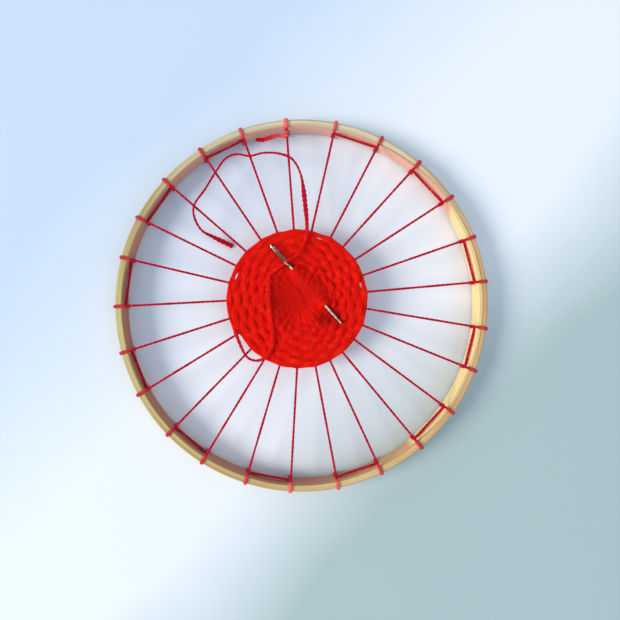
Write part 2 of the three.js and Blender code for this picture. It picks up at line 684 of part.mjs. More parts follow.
add('woven_centre', centreGeometry(), yarn);
add('working_yarn', workingYarnGeometry(), yarn);

const needle = add('needle', needleGeometry(), steel);
needle.applyMatrix4(needleAxes);

export default frame;
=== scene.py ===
"""Round weaving frame: the looks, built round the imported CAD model. +Z to the viewer, +Y up the front.

Lengths in this file are millimetres, apart from what Blender is given, which is metres; MM turns one into the
other.
"""

import math

import bpy
import numpy as np
from mathutils import Matrix, Vector


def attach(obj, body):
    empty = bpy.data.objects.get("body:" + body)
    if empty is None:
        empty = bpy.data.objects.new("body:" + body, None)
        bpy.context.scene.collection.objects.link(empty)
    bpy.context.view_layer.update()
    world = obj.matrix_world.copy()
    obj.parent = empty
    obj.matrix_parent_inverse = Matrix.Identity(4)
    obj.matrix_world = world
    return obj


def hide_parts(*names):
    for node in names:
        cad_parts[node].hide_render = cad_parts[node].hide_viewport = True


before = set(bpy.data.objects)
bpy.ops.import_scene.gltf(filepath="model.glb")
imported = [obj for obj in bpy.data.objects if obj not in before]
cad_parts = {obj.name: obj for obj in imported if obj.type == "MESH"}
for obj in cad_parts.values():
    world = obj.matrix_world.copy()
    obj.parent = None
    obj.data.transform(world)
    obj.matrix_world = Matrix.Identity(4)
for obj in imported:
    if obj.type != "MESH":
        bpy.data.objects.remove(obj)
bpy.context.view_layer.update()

MM = 0.001
TAU = 2 * math.pi

# Hoop
HOOP_OUTER_RADIUS = 100.0
HOOP_WALL = 3.9
HOOP_DEPTH = 12.0
HOOP_EDGE_RADIUS = 0.8
HOOP_EDGE_STEPS = 5
HOOP_SEGMENTS = 480
HOOP_BACK_Z = 1.18
HOOP_FRONT_Z = HOOP_BACK_Z + HOOP_DEPTH
HOOP_INNER_RADIUS = HOOP_OUTER_RADIUS - HOOP_WALL
HOOP_MIDDLE_RADIUS = HOOP_OUTER_RADIUS - HOOP_WALL / 2

# Yarn: two plies twisted together. YARN_RADIUS takes in its fuzz; YARN_FLAT is half its thickness where it is
# pressed on the hoop, with TOUCH between them
YARN_RADIUS = 0.62
YARN_FLAT = 0.5
YARN_UNEVEN = 0.2
TWIST_PITCH = 5.2
PLY_DEPTH = 0.14
YARN_SIDES = 12
YARN_STEP = 0.36
TOUCH = 0.1

# Warp
SPOKE_ANGLES = [
    7.5, 21.7, 35.9, 50.5, 64.3, 79.2, 94.8, 109.1, 123.0, 137.5, 151.7, 165.0, 180.3,
    194.8, 208.7, 224.0, 237.6, 252.4, 266.6, 281.5, 295.7, 310.3, 324.7, 339.4, 352.9,
]
SPOKE_ASIDE = [
    0.45, 0.7, 1.25, 1.2, 0, 1.45, 0, -1.0, -0.65, -0.45, -1.0, 0.2, -1.0,
    -1.25, -1.1, 0.35, 1.0, 0.1, 1.0, 2.0, 1.2, -0.35, 0.1, -0.35, 0.65,
]
START_SPOKE = 6
HUB = np.array([-1.2, 3.6])
WARP_Z = 13.92
SPOKE_INNER_END = 17.0
CHORD_DROP = 4.7
CHORD_TURN_RADIUS = 1.4
CORNER_STEPS = 8

# How pale the fuzz of a rim turn is: everywhere, how much more at the top and the bottom of the hoop, the
# angle of the top in degrees, and how far it spreads
RUBBED = (0.2, 0.7, 92, 17)

# Knot: a hitch round its own spoke and a cut tail. The tail's points: aside from the spoke, along it from the
# middle of the wall, over WARP_Z, and half width
FIRST_TURN_WIDER = 1.35
KNOT_HALF_WIDTH = 0.82
KNOT_FROM_WALL = 2.6
KNOT_RISE = 2.2
KNOT_PITCH = 1.7
KNOT_TURNS = 1.75
KNOT_STEPS = 42
KNOT_GAP = 0.05
KNOT_PALE = -0.5
TAIL_ROUTE = [
    (2.5, -6.3, -1.7, 1.0), (4.9, -5.4, -2.9, 1.15), (8.7, -5.7, -4.4, 1.25),
    (12.7, -6.2, -6.0, 1.2), (17.0, -5.3, -7.7, 1.05),
]
TAIL_HALF_THICK = 0.45

# Weft: the loose outer rows, counted from the dense middle out
WEFT_TURNS = 7
WEFT_PITCH = 2.42
WEFT_FIRST_RADIUS = 20.275
WEFT_WIDTH = 3.2
WEFT_THICKNESS = 1.9
WEFT_WAVE = 0.46
WEFT_TAUT = 0.28
WEFT_SAMPLES = 5200
WEFT_STEP = 0.42
STRAND_NOTCH_WIDTH = 0.17
STRAND_NOTCH_DEPTH = 0.2
STRAND_GROOVE_WIDTH = 0.2
WEFT_START_ANGLE = 201.0
WEFT_END_ANGLE = 204.5
CLOTH_OFFSET = (-0.5, -0.7)
CLOTH_RADIUS = 36.0

# How far a row goes over or under a spoke, in WEFT_WAVE: least, random part, share of it in the last rows
WEFT_STRENGTH = (0.65, 0.6, 0.7)

# How early the rows begin, how late they end and how long they taper there, in radians round the hub
WEFT_LEAD = 0.12
WEFT_RUN_ON = 0.035
WEFT_TAPER = 0.3

# The last row lies further in, and bulges out past the end: by how much, how far past it and how long
LAST_ROW_IN = 0.15
END_BULGE = (0.45, 0.05, 0.06)

# A spoke where the rows press it: half width, half thickness, and how far it is tinted towards the cloth's red
PRESSED_SPOKE = (0.6, 0.34, 1.0)

# How much shade is painted on the back of the cloth, and where a strand dives under a spoke
BACK_TONE = 0.3
DIVE_TONE = 0.6

# Dense middle of the cloth; its heights count from WARP_Z
CENTRE_RADIUS = 19.0
CENTRE_RIM_HEIGHT = 1.45
CENTRE_DISH_HEIGHT = -1.3
CENTRE_DISH_STEEPER = 2.1
CENTRE_RIM_WIDTH = 2.8
CENTRE_UNDERSIDE = 1.8
CENTRE_UNDERSIDE_DROP = 1.4
UNDERSIDE_LIFT = 0.5
CENTRE_FINE_PITCH = 1.25
CENTRE_FINE_RADIUS = 5.0
CENTRE_RIB_SLOPE = 0.02
CENTRE_ROUNDING = 0.06
CENTRE_EDGE_Z = -0.2
CENTRE_LAP = 0.25
CENTRE_RINGS = 150
CENTRE_SAMPLES_PER_SPOKE = 12
CAD_CLEARANCE = 0.3

# Its weave, from WEAVE_START out: how far it goes over and under, and how round its rows are, by the hub and
# how much more at the edge
WEAVE_START = 4.0
WEAVE_WAVE = (0.02, 0.3)
WEAVE_ROUNDING = (0.05, 0.26)

# Needle
NEEDLE_LENGTH = 56.4
NEEDLE_HEAD = (-16.7, 32.3)
NEEDLE_HEADING = -47.9
NEEDLE_ROLL = 50.0
NEEDLE_BRIGHT_SIDE = 90.0 + NEEDLE_ROLL + 14.0
SHAFT_DIAMETER = 1.6
HEAD_WIDTH = 2.7
HEAD_THICKNESS = 1.1
NOSE_DIAMETER = 0.5
SHOULDER_END = 15.2
TAPER_LENGTH = 7.0
NEEDLE_RINGS = 80
NEEDLE_SIDES = 32
EYE_START = 1.8
EYE_LENGTH = 12.2
SLOT_HALF_WIDTH = 0.85
EYE_YARN_AT = 12.7
EYE_Z = 17.32
TIP_Z = 16.27
TIP_RADIUS = 0.4
TUNNEL_RADIUS = 1.02
TUNNEL_SIDES = 20
TUNNEL_PAST_MOUTH = 9
CRISP_ANGLE = 38

# Painted shade on the needle's flanks, away from its lit side: how dark, how many degrees from the bright side
# it begins, and over how many it grows
NEEDLE_FLANK = (0.9, 28, 30)

# Fold of cloth over the needle, wider on the far side
RIDGE_START = 17.1
RIDGE_LENGTH = 27.2
RIDGE_END = RIDGE_START + RIDGE_LENGTH
RIDGE_CREST = 1.55
RIDGE_NEAR_MOUTH = 2.6
RIDGE_NEAR_FOOT = 8.0
RIDGE_FAR_MOUTH = 7.0
RIDGE_FAR_FOOT = 17.0
RIDGE_SINK = 1.4
RIDGE_BLEND = 0.8

# Waves in the middle of the cloth: x, y, radius and height of each
CLOTH_WAVES = [
    (4.0, -6.5, 4.6, 0.9), (12.4, -6.2, 4.6, -1.2), (9.5, 10.5, 6.0, 0.3),
]

# Crease beside the hub, from end to end
CREASE = ((-2.9, 10.0), (3.4, 0.0))
CREASE_WIDTH = 1.0
CREASE_DEPTH = 0.55

# Painted shade on the cloth where its slopes and hollows lie in shade: x, y, half sizes along x and y, strength
CLOTH_SHADES = [
    (-12.3, 2.6, 5.2, 15.5, 0.32), (-7.5, 1.0, 7.0, 13.0, 0.35), (12.2, -6.6, 4.6, 4.4, 1.3),
    (19.0, -11.5, 3.5, 3.0, 0.6), (8.5, 12.0, 7.0, 6.0, 0.15), (-12.0, 14.0, 4.0, 4.0, 0.3),
]

# Painted shade: how much darker the yarn is painted in the dish, on the near flank of the fold and in the
# crease
DISH_TONE = 0.35
DISH_TONE_RADIUS = 15.0
FLANK_TONE = 0.5
CREASE_TONE = 0.5

# Shade under the parts of the needle that show: strength by the head and by the tip, distance to its left, half
# width, and how soon it ends
NEEDLE_SHADE = (1.8, 1.5, 0.35, 1.5, 0.8)

# Where the two outermost rows stand apart: degrees round the hub, how far each moves, half length in radians
ROW_GAPS = (12.8, 71.5, 159.9)
ROW_GAP_SHIFT = 0.38
ROW_GAP_HALF = 0.075

# Working yarn, the same points as in the CAD source: x, y and height over WARP_Z
YARN_ROUTE = [
    (-35.6, -12.4, 0.10), (-35.2, -13.5, 0.45), (-34.4, -16.2, 1.50), (-29.8, -26.3, 1.50),
    (-24.9, -29.3, 1.30), (-19.5, -27.9, 2.45), (-16.5, -23.6, 2.50), (-15.3, -17.2, 2.50),
    (-16.0, -10.3, 2.50), (-16.9, -3.4, 2.50), (-17.6, 3.4, 2.50), (-17.7, 10.3, 2.50),
    (-16.9, 16.4, 2.50), (-12.9, 19.5, 2.50), (-10.0, 21.3, 2.52), (-8.9, 22.2, 2.64),
    (-8.2, 22.9, 3.40), (-7.5, 23.6, 4.16), (-6.4, 24.5, 4.20), (-3.4, 25.9, 3.30),
    (0.5, 31.2, 2.50), (2.6, 37.1, 2.55), (2.9, 43.5, 2.00), (2.4, 50.3, 1.20),
    (0.9, 63.7, 0.80), (-0.5, 70.3, 1.00), (-3.2, 75.9, 1.30), (-6.9, 79.2, 1.50),
    (-13.5, 81.2, 1.10), (-20.7, 81.2, 1.10), (-27.6, 79.5, 1.50), (-34.3, 80.6, 1.10),
    (-40.4, 78.3, 1.00), (-45.7, 70.9, 1.50), (-51.3, 62.0, 1.10), (-56.9, 53.6, 1.65),
    (-57.2, 47.1, -0.30), (-54.0, 40.9, -4.20), (-48.2, 37.8, -8.90), (-38.0, 33.2, -13.30),
]
ROUTE_STEPS = 12
FREE_YARN_STEP = 0.3
FREE_PLY_DEPTH = 0.24

# Where it lies on the cloth, as plateau takes it, and how far it settles between the rows there
ON_CLOTH = (4, 1.5, 12.5, 1.5)
YARN_SETTLE = 0.35

# How deep it looks off the cloth: in its lower loop and in its upper one, which grows paler at its end
LOWER_LOOP = (1.6, 0.8, 5.2, 0.8)
LOWER_LOOP_TONE = 0.85

# How much wider than round it lies, at points of its route counted from 0
YARN_SPREAD = [
    (0, 1.9), (1.2, 2.0), (2.0, 1.7), (2.8, 1.2), (4, 1.2), (5.5, 1.8), (7, 2.2), (12, 2.2), (14, 1.4),
    (15, 1.1), (17.5, 1.1), (19, 1.2), (21, 1.5), (22, 1.7), (23, 2.1), (23.6, 2.2), (24.3, 1.3), (25, 1.0),
    (26.3, 1.05), (27, 1.4), (27.6, 1.0), (35, 1.0), (37.4, 1.15), (38, 1.9), (38.5, 2.4), (39, 2.1),
]

# Line of the scarf joint on the hoop's edges: degrees, and share of the wall from the outside in
SEAM = [(-52.0, 1.0), (-40.0, 0.74), (0.0, 0.6), (22.0, 0.58), (36.0, 0.66), (50.0, 0.82), (66.0, 1.0)]
NO_SEAM = 9.0

# Inner layer where the strip overlaps: its ends in degrees, how far it stands in, and how far its later end
# slants, in degrees
INNER_LAYER = (-52.0, 34.0)
LAYER_STEP = 0.22
LAYER_SLANT = 4

# Unevenness of the strip, as waves round the hoop: size, number and phase of each
HOOP_DRIFT = [(0.10, 3, 1.0), (0.06, 7, 0.0), (0.03, 17, 0.0)]
HOOP_WALL_WAVES = [(0.09, 5, 0.4), (0.04, 13, 2.0)]
HOOP_LIFT = [(0.05, 4, 0.8), (0.03, 11, 0.0)]

# Camera: straight down on the frame, a little left of its middle
CAMERA_X = -9.5
CAMERA_Z = 284.2
HALF_VIEW = 166.24 / (CAMERA_Z - HOOP_FRONT_Z)
SENSOR = 36.0
SHIFT_X = 0.0427
SHIFT_Y = -0.0073

# Lamps in metres and watts: name, place, size, power and colour. They aim at the origin
LAMPS = [
    ("key", (-3.94, -0.5, 2.7), 2.2, 202.0, (1.0, 0.93, 0.87)),
    ("fill", (1.6, -0.8, 2.4), 2.0, 12.0, (0.95, 0.97, 1.0)),
]

# Colour and strength of the world's light, and of what camera and mirror rays see of it
WORLD_LIGHT = ((0.77, 1.0, 1.27, 1.0), 0.56)
WORLD_SEEN = ((0.84, 0.89, 0.97, 1.0), 0.95)
FLOOR_HALF = 3000.0


def place_object(name, data):
    made = bpy.data.objects.new(name, data)
    bpy.context.scene.collection.objects.link(made)
    return made


def make_camera():
    data = bpy.data.cameras.new("camera")
    data.sensor_width = SENSOR
    data.lens = SENSOR / 2 / HALF_VIEW
    data.shift_x = SHIFT_X
    data.shift_y = SHIFT_Y
    camera = place_object("camera", data)
    camera.location = (CAMERA_X * MM, 0, CAMERA_Z * MM)
    bpy.context.scene.camera = camera


make_camera()


# Materials

class Paint:
    """A node material, built one node at a time."""

    def __init__(self, name):
        self.material = bpy.data.materials.new(name)
        self.material.use_nodes = True
        self.tree = self.material.node_tree
        self.shader = self.tree.nodes["Principled BSDF"]

    def put(self, node, values):
        for key, value in values.items():
            socket = node.inputs[key]
            if isinstance(value, bpy.types.NodeSocket):
                self.tree.links.new(value, socket)
            else:
                socket.default_value = value

    def add(self, kind, values=None, output=0, **settings):
        node = self.tree.nodes.new("ShaderNode" + kind)
        for key, value in settings.items():
            setattr(node, key, value)
        self.put(node, values or {})
        return node.outputs[output]

    def math(self, operation, a, b=0.0):
        return self.add("Math", {0: a, 1: b}, operation=operation)

    def times(self, a, b):
        return self.math("MULTIPLY", a, b)

    def ramp(self, value, low, high, at_low=0.0, at_high=1.0):
        """at_low where value is low or less, at_high where it is high or more."""
        return self.add("MapRange", {
            "Value": value, "From Min": low, "From Max": high, "To Min": at_low, "To Max": at_high,
        }, clamp=True)

    def mix(self, share, a, b):
        return self.add("Mix", {0: share, 6: a, 7: b}, 2, data_type="RGBA")

    def over(self, tone, share, strength, colour):
        """A tone with a colour laid over it, as far as share times strength."""
        return self.mix(self.times(share, strength), tone, colour)

    def attribute(self, name):
        return self.add("Attribute", output="Fac", attribute_name=name)

    def place(self):
        """The place on the object, whole and as x, y and z."""
        whole = self.add("TexCoord", output="Object")
        return (whole, *self.add("SeparateXYZ", {0: whole}).node.outputs)

    def noise(self, vector, scale, detail=2.0, roughness=0.5, dimensions="3D", w=None):
        values = {"Vector": vector, "Scale": scale, "Detail": detail, "Roughness": roughness}
        if w is not None:
            values["W"] = w
        return self.add("TexNoise", values, noise_dimensions=dimensions)

    def stretched(self, layer, along, around):
        """UV coordinates of a mesh, scaled along and around."""
        uv = self.add("UVMap", uv_map=layer)
        return self.add("Mapping", {"Vector": uv, "Scale": (along, around, 1.0)})

    def bump(self, height, distance):
        return self.add("Bump", {"Height": height, "Distance": distance, "Strength": 1.0})


def srgb(r, g, b):
    """A colour as a screen shows it, 0 to 255, as the linear one that Blender takes."""
    def linear(c):
        c /= 255
        return c / 12.92 if c <= 0.04045 else ((c + 0.055) / 1.055) ** 2.4
    return (linear(r), linear(g), linear(b), 1.0)


def yarn_material(name, body, deep, bright, dark):
    """Soft two-ply yarn: fibres run along it, and shade is painted between the plies.

    One attribute carries painted shade and tints: 0 to 2 where shade is painted on yarn deep in the work; it
    also tints the spokes inside the cloth and the loose yarn off it, and under 0 it tints the yarn paler.
    """
    paint = Paint(name)
    fibres = paint.noise(paint.stretched("yarn", 0.9, 26.0), 1.0, 3.0, 0.65)
    tufts = paint.noise(paint.stretched("yarn", 0.35, 2.0), 1.0, 2.0)
    painted_shade_and_tint = paint.attribute("painted_shade_and_tint")
    tone = paint.mix(paint.ramp(fibres, 0.35, 0.7), deep, body)
    tone = paint.mix(paint.ramp(tufts, 0.5, 0.8), tone, bright)
    # Painted shade between the plies and strands, then painted shade and tints: towards dark, from 1 to 2
    # towards the deepest painted shade, and paler under 0
    tone = paint.over(tone, paint.attribute("painted_groove_shade"), 0.55, deep)
    tone = paint.over(tone, painted_shade_and_tint, 0.9, dark)
    tone = paint.mix(paint.ramp(painted_shade_and_tint, 1.0, 2.0), tone, srgb(74, 6, 8))
    tone = paint.over(tone, painted_shade_and_tint, -1.0, srgb(246, 116, 108))
    paint.put(paint.shader, {
        "Base Color": tone, "Roughness": 0.9, "Specular IOR Level": 0.1,
        "Sheen Weight": 0.12, "Sheen Roughness": 0.5, "Sheen Tint": srgb(255, 90, 70),
        "Normal": paint.bump(fibres, 0.00009),
    })
    return paint.material


def wood_material():
    """Pale bent wood: long grain round the hoop, dark pores, painted shade on edges and inside wall, the line
    of its scarf.
    """
    paint = Paint("bent_wood")
    _whole, x, y, z = paint.place()
    radius = paint.math("SQRT", paint.math("ADD", paint.times(x, x), paint.times(y, y)))
    cosine = paint.math("DIVIDE", x, radius)
    sine = paint.math("DIVIDE", y, radius)

    def grain(turns, per_mm, detail, rough):
        vector = paint.add("CombineXYZ", {
            0: paint.times(cosine, turns), 1: paint.times(sine, turns), 2: paint.times(radius, per_mm / MM),
        })
        return paint.noise(vector, 1.0, detail, rough, "4D", paint.times(z, per_mm / MM))

    bands = grain(1.6, 0.55, 2.0, 0.5)
    fine = grain(4.0, 3.2, 3.0, 0.6)
    pores = paint.ramp(grain(22.0, 5.0, 1.0, 0.5), 0.66, 0.74)
    line = paint.ramp(paint.math("ABSOLUTE", paint.attribute("seam")), 0.26, 0.06)
    right = paint.ramp(x, -0.09, 0.1)
    top = paint.ramp(y, 0.02, 0.1)
    upper_right = paint.ramp(paint.math("ADD", x, y), -0.09, 0.09)
    lower_right = paint.ramp(paint.math("SUBTRACT", x, y), 0.1, 0.135)
    pale = paint.mix(right, srgb(202, 186, 120), srgb(228, 186, 130))
    pale = paint.over(pale, top, 0.75, srgb(224, 214, 188))
    warm = paint.mix(right, srgb(172, 144, 74), srgb(208, 156, 98))
    warm = paint.over(warm, top, 0.4, srgb(186, 168, 134))
    # Painted shade and painted red bounce light on the inside wall: darker and redder towards the lower left,
    # paler towards the upper right, tan towards the lower right
    wall = paint.mix(upper_right, srgb(186, 99, 83), srgb(244, 178, 156))
    wall = paint.mix(lower_right, wall, srgb(214, 168, 120))
    tone = paint.mix(paint.ramp(bands, 0.38, 0.66), pale, warm)
    tone = paint.over(tone, paint.ramp(fine, 0.45, 0.75), 0.55, srgb(172, 138, 88))
    tone = paint.over(tone, pores, 0.5, srgb(120, 86, 52))
    tone = paint.over(tone, paint.attribute("inner_wall"), 0.75, wall)
    tone = paint.over(tone, paint.attribute("inner_layer"), 0.75, srgb(250, 226, 158))
    # Painted shade on the rounded edges
    tone = paint.over(tone, paint.attribute("edge"), 0.45, srgb(150, 116, 74))
    tone = paint.over(tone, line, 0.8, srgb(112, 82, 44))
    height = paint.math("SUBTRACT", paint.times(fine, 0.7), paint.times(line, 0.8))
    height = paint.math("SUBTRACT", height, paint.times(pores, 0.5))
    paint.put(paint.shader, {
        "Base Color": tone, "Roughness": paint.ramp(fine, 0.3, 0.7, 0.48, 0.66),
        "Specular IOR Level": 0.35, "Normal": paint.bump(height, 0.00006),
    })
    return paint.material


def steel_material():
    """Polished needle steel with fine lengthwise scratches and a grey film in places."""
    paint = Paint("needle_steel")
    scratches = paint.noise(paint.stretched("needle", 0.25, 60.0), 1.0, 2.0, 0.6)
    film = paint.noise(paint.stretched("needle", 0.35, 1.5), 1.0, 3.0, 0.6)
    tone = paint.mix(paint.ramp(film, 0.5, 0.62), srgb(240, 208, 186), srgb(120, 106, 96))
    # Painted shade in the eye and on the flanks away from the bright side
    tone = paint.over(tone, paint.attribute("painted_steel_shade"), 0.9, srgb(92, 78, 76))
    paint.put(paint.shader, {
        "Base Color": tone, "Metallic": 1.0, "Roughness": paint.ramp(film, 0.35, 0.7, 0.16, 0.34),
        "Normal": paint.bump(scratches, 0.000012),
    })
    return paint.material


WARP_YARN = yarn_material(
    "warp_yarn", srgb(208, 14, 48), srgb(158, 4, 36), srgb(232, 40, 60), srgb(204, 10, 6))
WEFT_YARN = yarn_material(
    "weft_yarn", srgb(237, 19, 5), srgb(208, 9, 2), srgb(248, 38, 13), srgb(184, 8, 2))
FREE_YARN = yarn_material(
    "free_yarn", srgb(242, 22, 10), srgb(212, 10, 5), srgb(252, 44, 26), srgb(180, 8, 48))
WOOD = wood_material()
STEEL = steel_material()


# Numbers

def unit(vectors):
    return vectors / np.linalg.norm(vectors, axis=-1, keepdims=True)


def smooth_step(t):
    """0 under 0, 1 over 1, and an even S between them."""
    t = np.clip(t, 0, 1)
    return t * t * (3 - 2 * t)


def plateau(t, start, rise, end, fall):
    """1 between start and end and 0 outside, with smooth steps of these lengths inside both ends."""
    return smooth_step((t - start) / rise) * smooth_step((end - t) / fall)


def soft_max(a, b, blend):
    """The larger of two heights, with the valley between them rounded."""
    share = np.clip((a - b) / blend + 0.5, 0, 1)
    return b + (a - b) * share + blend * share * (1 - share) / 2


def wander(seed, size, waves=5, shortest=6.0):
    """A smooth small offset as a function of length, from sines of unlike wavelengths."""
    random = np.random.default_rng(seed)
    rates = TAU / (shortest * (1 + 5 * random.random(waves)))
    starts = TAU * random.random(waves)
    sizes = size * random.random(waves) / waves
    return lambda s: (np.sin(np.outer(np.atleast_1d(s), rates) + starts) * sizes).sum(axis=1)


def length_along(points):
    return np.concatenate([[0.0], np.cumsum(np.linalg.norm(np.diff(points, axis=0), axis=1))])


# Meshes

def show(name, points, faces, material, uv_layer=None, uv=None, attributes=None):
    """A mesh object from points in millimetres, with one UV pair for each corner of each face."""
    mesh = bpy.data.meshes.new(name)
    mesh.from_pydata((np.asarray(points) * MM).tolist(), [], [list(map(int, f)) for f in faces])
    if uv is not None:
        mesh.uv_layers.new(name=uv_layer).data.foreach_set("uv", np.asarray(uv, np.float32).ravel())
    for key, values in (attributes or {}).items():
        attribute = mesh.attributes.new(key, "FLOAT", "POINT")
        attribute.data.foreach_set("value", np.asarray(values, np.float32).ravel())
    mesh.polygons.foreach_set("use_smooth", [True] * len(mesh.polygons))
    mesh.materials.append(material)
    mesh.validate()
    mesh.update()
    return place_object(name, mesh)


def settle(piece, body, slot, *nodes):
    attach(piece, body)
    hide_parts(*nodes)


def resample(stops, step):
    """Stops are rows of place (3), way the broad side faces (3), half width, half thickness, painted shade and
    tint.
    """
    stops = np.asarray(stops, float)
    run = length_along(stops[:, :3])
    keep = np.concatenate([[True], np.diff(run) > 1e-6])
    stops, run = stops[keep], run[keep]
    at = np.linspace(0, run[-1], max(3, int(round(run[-1] / step)) + 1))
    return np.column_stack([np.interp(at, run, column) for column in stops.T]), at


def swept(rows, x, y):
    """Rings of points round the stops, from their offsets along the broad side and out of it."""
    along = unit(np.gradient(rows[:, :3], axis=0))
    across = unit(np.cross(rows[:, 3:6], along))
    out = np.cross(along, across)
    return rows[:, None, :3] + across[:, None, :] * x[:, :, None] + out[:, None, :] * y[:, :, None]


def yarn_tube(name, stops, material, step=YARN_STEP, seed=0, phase=0.0, depth=PLY_DEPTH):
    """A two-ply yarn along its stops, closed at both ends."""
    rows, at = resample(stops, step)
    angles = TAU * np.arange(YARN_SIDES) / YARN_SIDES
    twist = phase + TAU * at / TWIST_PITCH
    grooves = ((1 - np.cos(2 * (angles - twist[:, None]))) / 2) ** 2
    size = (1 - depth * grooves) * (1 + wander(seed, YARN_UNEVEN)(at)[:, None])
    rings = swept(rows, rows[:, 6:7] * size * np.cos(angles), rows[:, 7:8] * size * np.sin(angles))
    attributes = {"painted_groove_shade": grooves, "painted_shade_and_tint": np.repeat(rows[:, 8], YARN_SIDES)}
    return tube_mesh(name, rings, at, attributes, material, "yarn")


def tube_mesh(name, rings, at, attributes, material, layer):
    """Joins rings of points, counted anticlockwise about the way the tube runs, and caps both ends."""
    count, sides = rings.shape[:2]
    i = np.arange(count - 1)[:, None] * sides
    j = np.arange(sides)
    k = (j + 1) % sides
    quads = np.stack([i + j, i + k, i + k + sides, i + j + sides], axis=-1).reshape(-1, 4)
    low, high = np.repeat(at[:-1], sides), np.repeat(at[1:], sides)
    v0 = np.tile(np.arange(sides) / sides, count - 1)
    v1 = v0 + 1 / sides
    uv = np.stack([low, v0, low, v1, high, v1, high, v0], axis=-1).reshape(-1, 2)
    start = list(range(sides))[::-1]
    end = [(count - 1) * sides + n for n in range(sides)]
    faces = [*quads.tolist(), start, end]
    caps = [[at[0], n / sides] for n in start] + [[at[-1], n / sides] for n in range(sides)]
    uv = np.concatenate([uv, np.array(caps)])
    return show(name, rings.reshape(-1, 3), faces, material, layer, uv, attributes)


def stop(place, face, half_width=YARN_RADIUS, half_thick=YARN_RADIUS, painted_shade_and_tint=0.0):
    """One place that a yarn passes, as resample takes it."""
    return [*place, *face, half_width, half_thick, painted_shade_and_tint]


# Warp

class Spoke:
    """Where a spoke crosses the middle of the wall, and its direction outwards: it passes beside the hub."""

    def __init__(self, degrees, aside):
        angle = math.radians(degrees)
        self.rim = HOOP_MIDDLE_RADIUS * np.array([math.cos(angle), math.sin(angle)])
        from_hub = unit(self.rim - HUB)
        beside = HUB + aside * np.array([-from_hub[1], from_hub[0]])
        self.out = unit(self.rim - beside)
        self.to_hub = HUB - self.rim

    def along_at(self, radius):
        """How far along it the spoke is at this distance from the hub."""
        nearest = self.to_hub @ self.out
        return nearest + np.sqrt(np.maximum(radius ** 2 + nearest ** 2 - self.to_hub @ self.to_hub, 0.0))

    def heading_at(self, radius):
        """Its direction as seen from the hub, at this distance from the hub."""
        place = np.multiply.outer(self.along_at(radius), self.out) - self.to_hub
        return np.arctan2(place[..., 1], place[..., 0]) % TAU

    def at(self, along, z):
        return np.array([*(self.rim + self.out * along), z])

    def away(self, along, z):
        return np.array([*(self.out * along), z])


spokes = [Spoke(degrees, aside) for degrees, aside in zip(SPOKE_ANGLES, SPOKE_ASIDE)]

WALL_TO_YARN = HOOP_WALL / 2 + TOUCH + YARN_FLAT
RIM_CORNER_RADIUS = HOOP_EDGE_RADIUS + TOUCH + YARN_FLAT
BAND_Z = HOOP_FRONT_Z + TOUCH + YARN_FLAT
BACK_RUN_Z = HOOP_BACK_Z / 2
CHORD_Z = HOOP_FRONT_Z - CHORD_DROP
BAND_HALF = 1.05
QUARTER_TURN = [n / CORNER_STEPS * math.pi / 2 for n in range(CORNER_STEPS + 1)]


def rubbed_share(spoke):
    degrees = math.degrees(math.atan2(spoke.rim[1], spoke.rim[0])) % 180
    everywhere, more, at, spread = RUBBED
    return everywhere + more * math.exp(-((degrees - at) / spread) ** 2)


def rim_turn(spoke):
    """From the front of the hoop round the rim to the foot of the inside wall."""
    r = RIM_CORNER_RADIUS
    inset = WALL_TO_YARN - r
    rows = []
    for along, z, start, painted_shade_and_tint in (
        (inset, BAND_Z - r, math.pi / 2, -rubbed_share(spoke)), (inset, BACK_RUN_Z + r, 0, 0),
        (-inset, BACK_RUN_Z + r, -math.pi / 2, 0),
    ):
        for turned in QUARTER_TURN:
            c, s = math.cos(start - turned), math.sin(start - turned)
            place = spoke.at(along + r * c, z + r * s)
            rows.append(stop(place, spoke.away(c, s), BAND_HALF, YARN_FLAT * 1.05, painted_shade_and_tint))
    return rows


def spoke_run(spoke):
    """From near the hub out to the inner edge of the rim, round in the open and pressed flat on the rim."""
    bend = -(HOOP_WALL / 2 + 0.5)
    return [stop(spoke.at(along, z), (0, 0, 1), *size) for along, z, *size in (
        (spoke.along_at(SPOKE_INNER_END), WARP_Z, *PRESSED_SPOKE),
        (spoke.along_at(CLOTH_RADIUS - 1.5), WARP_Z, *PRESSED_SPOKE),
        (spoke.along_at(CLOTH_RADIUS), WARP_Z),
        (bend - 4.0, WARP_Z - 0.03),
        (bend - 1.2, WARP_Z - 0.08, YARN_RADIUS * 1.08, YARN_RADIUS * 0.98),
        (bend + 0.8, BAND_Z + 0.04, BAND_HALF * 0.92, YARN_FLAT * 1.15, -rubbed_share(spoke)),
    )]


def turn_along_wall(spoke, towards):
    """The bend from going up the inside wall to running along it."""
    foot = spoke.at(-WALL_TO_YARN, 0)
    run = unit((towards - foot) * (1, 1, 0))
    inward = np.cross((0, 0, 1), run)
    inward = -inward if inward @ spoke.away(1, 0) > 0 else inward
    rows = []
    for angle in QUARTER_TURN:
        place = foot + run * CHORD_TURN_RADIUS * (1 - math.cos(angle))
        place[2] = CHORD_Z - CHORD_TURN_RADIUS * (1 - math.sin(angle))
        rows.append(stop(place, inward, BAND_HALF, YARN_RADIUS))
    return rows


def warp_pair(first, second):
    """Two neighbouring spokes, their turns round the rim and the run along the inside wall between them."""
    first_foot, second_foot = first.at(-WALL_TO_YARN, 0), second.at(-WALL_TO_YARN, 0)
    return [
        *spoke_run(first), *rim_turn(first), *turn_along_wall(first, second_foot),
        *turn_along_wall(second, first_foot)[::-1], *rim_turn(second)[::-1], *spoke_run(second)[::-1],
    ]


